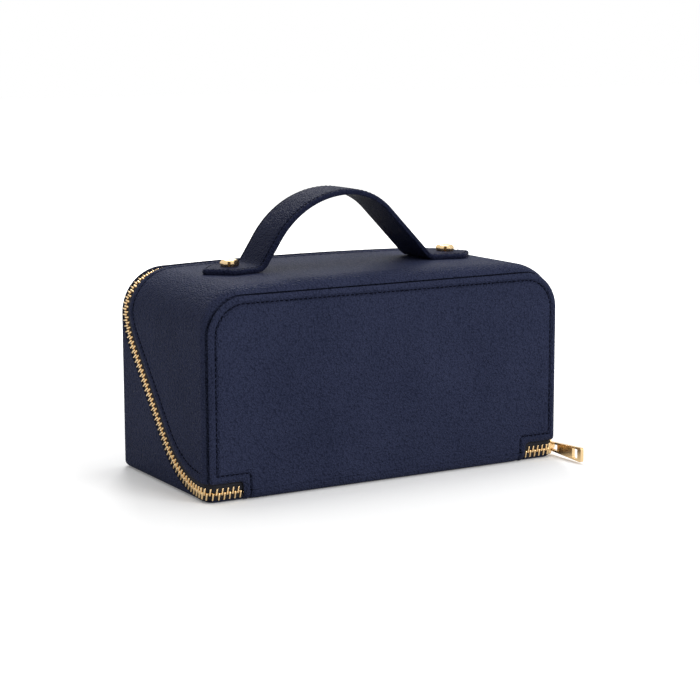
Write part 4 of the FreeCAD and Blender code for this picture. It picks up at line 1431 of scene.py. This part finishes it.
    def half_at(self, x: float) -> float:
        """Half width of the strap, with its tongue tips.

        Args:
            x: Distance from the middle of the case.

        Returns:
            The half width there.
        """
        slope = math.tan(self.tip_lean)
        sine = math.sin(self.tip_lean)
        apex = self.tip + self.tip_radius / sine - self.tip_radius
        from_tip = self.tip - abs(x)
        if from_tip <= self.tip_radius * (1 - sine):
            return math.sqrt(max(0.0, self.tip_radius ** 2 - (self.tip_radius - from_tip) ** 2))
        shoulder = apex - self.half_width / slope
        blend = self.shoulder_radius * math.tan(self.tip_lean / 2)
        along = abs(x) - (shoulder - blend)
        if along <= 0:
            return self.half_width
        if abs(x) < shoulder + blend * math.cos(self.tip_lean):
            return self.half_width - self.shoulder_radius * round_fall(along / self.shoulder_radius)
        return (apex - abs(x)) * slope

    def section(self, x: float, z: float, heading: float) -> list[Vector]:
        """Closed cross-section of the strap at a place on its route.

        Args:
            x: Place along the case.
            z: Height of the strap's underside there.
            heading: Slope of the strap there.

        Returns:
            The loop of points.
        """
        tall = self.thickness
        half = max(self.half_at(x), self.least_half)
        edge = min(self.edge_round, half * self.edge_share)
        across = sorted({round(min(mark, half), 4) for mark in self.across_marks})
        while len(across) < len(self.across_marks):
            across.append(across[-1] + self.least_gap)
        face = []
        for inset in across:
            seam = self.seam.at(inset) if half > self.seam_half else 0.0
            crown = self.crown_height * (1 - math.exp(-inset / self.crown_run))
            fall = edge * self.edge_share * round_fall(max(0.0, 1 - inset / edge))
            face.append((half - min(inset, half), tall - self.face_sink + crown + seam - fall))
        rim = [(half + self.rim_out, tall * self.rim_top), (half - self.rim_groove, tall * self.rim_middle),
               (half + self.rim_out, tall * self.rim_low), (half - self.foot_in, self.foot_height),
               (half - min(self.sole_in, half * self.sole_share), 0.0)]
        loop = [(-y, height) for y, height in face] + face[-2::-1]
        loop += rim + [(-y, height) for y, height in reversed(rim)]
        near = max(0.0, 1 - (self.tip - abs(x)) / self.tip_round)
        slim = max(self.tip_slim, math.sqrt(max(0.0, 1 - near ** 2)))
        middle = tall * self.edge_middle
        up = lean(-heading)
        return [Vector((x, y, z)) + up * (middle + (height - middle) * slim) for y, height in loop]

    def screw_head(self, side: int) -> list[list[Vector]]:
        """Loops of a domed, six-sided screw head with a notch in its front rim.

        Args:
            side: -1 for the left screw, 1 for the right.

        Returns:
            The loops from the seat to the crown.
        """
        up = lean(side * self.tilt)
        along = Vector((up.z, 0, -up.x))
        seat_reach = self.form.crown_radius + self.seat_gap + self.thickness - self.head_sink
        seat = Vector((0, 0, self.form.crown_z)) + up * seat_reach
        half_side = self.head_side // 2
        loops = []
        for height, scale, roundness in self.head_levels:
            loop = []
            for turn in range(0, 360, self.head_step):
                angle = math.radians(turn)
                flat = math.radians((turn + half_side) % self.head_side - half_side)
                reach = self.head_reach * scale * ((1 - roundness) / math.cos(flat) + roundness)
                if turn == self.notch_turn and height < self.notch_top:
                    reach *= self.notch_share
                out = along * math.cos(angle) + Vector((0, math.sin(angle), 0))
                loop.append(seat + up * height + out * reach)
            loops.append(loop)
        return loops

    def build(self) -> None:
        """Makes the strap, its stitches and the screws with what holds them."""
        route = self.route()
        slope = math.tan(self.tilt)
        starts = [(gap - self.tip, route[0][1] + gap * slope, self.tilt) for gap in self.tip_gaps]
        ends = [(-x, route[-1][1] + (self.tip + x) * slope, route[-1][2]) for x, _, _ in reversed(starts)]
        loops = [self.section(*place) for place in starts + route[1:-1] + ends]
        strap = skin("handle_strap_leather", loops, self.finishes.strap)
        settle(strap, Body.LID, Slot.LEATHER, "handle_strap", "handle_core", "handle_under_leather")
        for side, name in ((-1, "front"), (1, "back")):
            line = []
            for x, z, heading in route:
                half = self.half_at(x) - self.seam.middle
                if abs(x) <= self.tip - self.seam.middle * self.sewn_end and half > self.sewn_half:
                    up = lean(-heading)
                    line.append((Vector((x, side * half, z)) + up * (self.thickness - self.face_sink), up))
            self.threads.row("handle_stitches_" + name, line, 0.0, Body.LID)
        for side, name in ((-1, "left"), (1, "right")):
            head = skin("handle_screw_head_" + name, self.screw_head(side), self.finishes.gold)
            settle(head, Body.LID, Slot.GOLD, "handle_screws")
        posts = softened("handle_posts", "screw_posts", self.finishes.gold, self.post_edge)
        settle(posts, Body.LID, Slot.GOLD, "handle_posts")


@dataclass
class Fittings:
    """Slider, bridge and pull of the zip."""

    finishes: Finishes

    def build(self) -> None:
        """Makes the three fittings with rounded edges."""
        for node, name, body, width in (
                ("zip_slider", "slider_body", Body.SLIDER, 0.28),
                ("slider_bridge", "bridge_loop", Body.SLIDER, 0.3),
                ("zip_pull", "pull_tab", Body.PULL, 0.42)):
            settle(softened(node, name, self.finishes.gold, width, 3), body, Slot.GOLD, node)


@dataclass
class Inside:
    """Linings, tray, partitions, ring rolls, pocket and the stiffening behind them."""

    finishes: Finishes
    roll_count: int = 6
    roll_sides: int = 28
    roll_gap: float = 0.25
    roll_fill: float = 0.8
    squareness: float = 3.0
    end_reach: float = 0.05
    end_power: float = 0.42
    end_size: float = 0.35
    unevenness: float = 0.015
    waves: float = 9.0
    stations: tuple[float, ...] = (0.0, 0.004, 0.015, 0.04, 0.08, 0.2, 0.35, 0.5, 0.65, 0.8, 0.92, 0.96,
                                   0.985, 0.996, 1.0)

    def roll(self, number: int, low: Vector, high: Vector) -> list[list[Vector]]:
        """Loops of one ring roll, a closed form that swells between its ends.

        Args:
            number: Place of the roll, counted from 0.
            low: Lowest corner of all the rolls.
            high: Highest corner of all the rolls.

        Returns:
            The loops from its left end to its right end.
        """
        pitch = (high.y - low.y) / self.roll_count
        middle_y, middle_z = low.y + pitch * (number + 0.5), (low.z + high.z) / 2
        half_y, half_z = pitch / 2 - self.roll_gap, (high.z - low.z) / 2
        loops = []
        for part in self.stations:
            swell = max(self.end_size, min(1.0, (min(part, 1 - part) / self.end_reach) ** self.end_power))
            swell = min(1.0, swell * (1 + self.unevenness * math.sin(part * self.waves + number)))
            loop = []
            for side in range(self.roll_sides):
                angle = 2 * math.pi * side / self.roll_sides
                cosine, sine = math.cos(angle), math.sin(angle)
                spread = abs(cosine) ** self.squareness + abs(sine) ** self.squareness
                size = swell / spread ** (1 / self.squareness)
                loop.append(Vector((low.x + (high.x - low.x) * part, middle_y + half_y * size * cosine,
                                    middle_z + half_z * size * sine)))
            loops.append(loop)
        return loops

    def build(self) -> None:
        """Dresses everything inside the leather."""
        low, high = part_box("ring_rolls")
        for number in range(self.roll_count):
            loops = self.roll(number, low / MM, high / MM)
            roll = skin(f"ring_roll_{number + 1}", loops, self.finishes.suede)
            settle(roll, Body.BASE, Slot.SUEDE, "ring_rolls")
        for node, name, body, width in (
                ("jewellery_tray", "tray_suede", Body.BASE, 0.7),
                ("tray_dividers", "divider_suede", Body.BASE, 0.6),
                ("base_lining", "base_lining_suede", Body.BASE, 0.25),
                ("lid_lining", "lid_lining_suede", Body.LID, 0.25),
                ("lid_pocket", "lid_pocket_suede", Body.LID, 0.3)):
            settle(softened(node, name, self.finishes.suede, width), body, Slot.SUEDE, node)
        # The boards take the near-black board finish, which is painted shade where the front board shows in
        # the groove.
        for node in ("bottom_board", "back_board", "base_left_board", "base_right_board", "front_board",
                     "top_board", "lid_left_board", "lid_right_board", "handle_backing_plates"):
            self.paint(node, self.finishes.board)
        for node in ("base_padding", "front_padding", "top_padding"):
            self.paint(node, self.finishes.foam)

    def paint(self, node: str, material: bpy.types.Material) -> None:
        """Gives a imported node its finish.

        Args:
            node: The node.
            material: Its finish.
        """
        mesh = bpy.data.objects[node].data
        mesh.materials.clear()
        mesh.materials.append(material)
        LOG.info("%s is %s", node, material.name)


@dataclass(frozen=True)
class Lamp:
    """A soft square lamp: its place and width in metres and its power in watts."""

    name: str
    place: Triple
    size: float
    power: float

    def light(self, aim: Vector) -> None:
        """Adds the lamp to the scene.

        Args:
            aim: Point that it faces, in metres.
        """
        data = bpy.data.lights.new(self.name, "AREA")
        data.energy = self.power
        data.size = self.size
        lamp = show(bpy.data.objects.new(self.name, data))
        lamp.location = self.place
        lamp.rotation_euler = (aim - Vector(self.place)).to_track_quat("-Z", "Y").to_euler()


@dataclass
class Studio:
    """Pale floor, soft lights and the camera."""

    target: Triple = (6.0, -0.8, 69.9)
    azimuth: float = math.radians(-30.36)
    elevation: float = math.radians(9.60)
    distance: float = 1176.0
    roll: float = math.radians(-0.12)
    lens: float = 97.66
    sensor: float = 36.0
    nearest: float = 0.05
    floor_size: float = 6.0
    floor_drop: float = 0.0002
    floor_tone: float = 0.93
    floor_roughness: float = 0.9
    near_floor: float = 0.2
    far_floor: float = 0.9
    near_lift: float = 0.12
    far_lift: float = 0.58
    surround: float = 0.5
    backdrop: float = 1.0
    aim: Triple = (0.0, 0.0, 0.07)
    lamps: tuple[Lamp, ...] = (
        Lamp("overhead_softbox", (0.2, 0.2, 1.45), 1.0, 8.5),
        Lamp("front_softbox", (0.6, -1.5, 0.9), 0.9, 16.0),
        Lamp("back_softbox", (0.45, 1.1, 0.9), 0.4, 8.0))

    def camera(self) -> None:
        """Places the camera as the photograph was taken."""
        back = Vector((math.sin(self.azimuth) * math.cos(self.elevation),
                       -math.cos(self.azimuth) * math.cos(self.elevation), math.sin(self.elevation)))
        data = bpy.data.cameras.new("photo_camera")
        data.lens = self.lens
        data.sensor_width = self.sensor
        data.clip_start = self.nearest
        camera = show(bpy.data.objects.new("photo_camera", data))
        right = (-back).cross(Vector((0, 0, 1))).normalized()
        up = right.cross(-back)
        turned = right * math.cos(self.roll) + up * math.sin(self.roll)
        raised = up * math.cos(self.roll) - right * math.sin(self.roll)
        place = axes(turned, raised, back).to_4x4()
        place.translation = (Vector(self.target) + back * self.distance) * MM
        camera.matrix_world = place
        bpy.context.scene.camera = camera

    def floor(self) -> None:
        """Makes the pale floor, lifted to white for the camera where no shadow falls."""
        shader = Shader("pale_floor")
        shader.dress(Base_Color=(self.floor_tone, self.floor_tone, self.floor_tone, 1),
                     Roughness=self.floor_roughness, Specular_IOR_Level=0.0)
        away = shader.add("ShaderNodeVectorMath", operation="LENGTH")
        shader.join(shader.place, away.inputs[0])
        lift = shader.add("ShaderNodeMapRange", From_Min=self.near_floor, From_Max=self.far_floor,
                          To_Min=self.near_lift, To_Max=self.far_lift)
        shader.join(away.outputs["Value"], lift.inputs["Value"])
        path = shader.add("ShaderNodeLightPath")
        seen = shader.calculate("MULTIPLY", path.outputs["Is Camera Ray"], lift.outputs["Result"])
        glow = shader.add("ShaderNodeEmission")
        shader.join(seen, glow.inputs["Strength"])
        both = shader.add("ShaderNodeAddShader")
        shader.join(shader.surface.outputs["BSDF"], both.inputs[0])
        shader.join(glow.outputs["Emission"], both.inputs[1])
        shader.join(both.outputs["Shader"], shader.nodes["Material Output"].inputs["Surface"])
        build = bmesh.new()
        bmesh.ops.create_grid(build, x_segments=1, y_segments=1, size=self.floor_size)
        floor = finish_mesh("floor", as_mesh(build, "floor"), shader.material)
        floor.location.z = -self.floor_drop

    def world(self) -> None:
        """Gives an even pale surround that is white to the camera and in reflections."""
        world = bpy.data.worlds.new("studio")
        world.use_nodes = True
        tree = NodeTree(world.node_tree)
        backdrop = tree.nodes["Background"]
        backdrop.inputs["Color"].default_value = (1, 1, 1, 1)
        rays = tree.add("ShaderNodeLightPath").outputs
        seen = tree.calculate("MAXIMUM", rays["Is Camera Ray"], rays["Is Glossy Ray"])
        clear = tree.calculate("MAXIMUM", seen, rays["Is Transmission Ray"])
        strength = tree.add("ShaderNodeMapRange", To_Min=self.surround, To_Max=self.backdrop)
        tree.join(clear, strength.inputs["Value"])
        tree.join(strength.outputs["Result"], backdrop.inputs["Strength"])
        bpy.context.scene.world = world

    def build(self) -> None:
        """Sets the whole studio up."""
        bpy.context.scene.view_settings.view_transform = "Standard"
        self.camera()
        self.floor()
        self.world()
        for lamp in self.lamps:
            lamp.light(Vector(self.aim))


def main() -> None:
    """Builds the studio and every sub-assembly of the case."""
    logging.basicConfig(level=logging.INFO, format="%(name)s: %(message)s")
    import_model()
    form = CaseForm()
    finishes = Finishes()
    scatter = Scatter()
    threads = Threads(finishes, scatter)
    Studio().build()
    panel = FrontPanel(form, finishes, threads)
    panel.build()
    Gusset(form, finishes, threads, panel).build()
    BaseLeather(finishes).build()
    ZipChain(form, finishes, scatter).build()
    Handle(form, finishes, threads).build()
    Fittings(finishes).build()
    Inside(finishes).build()


if __name__ == "__main__":
    main()
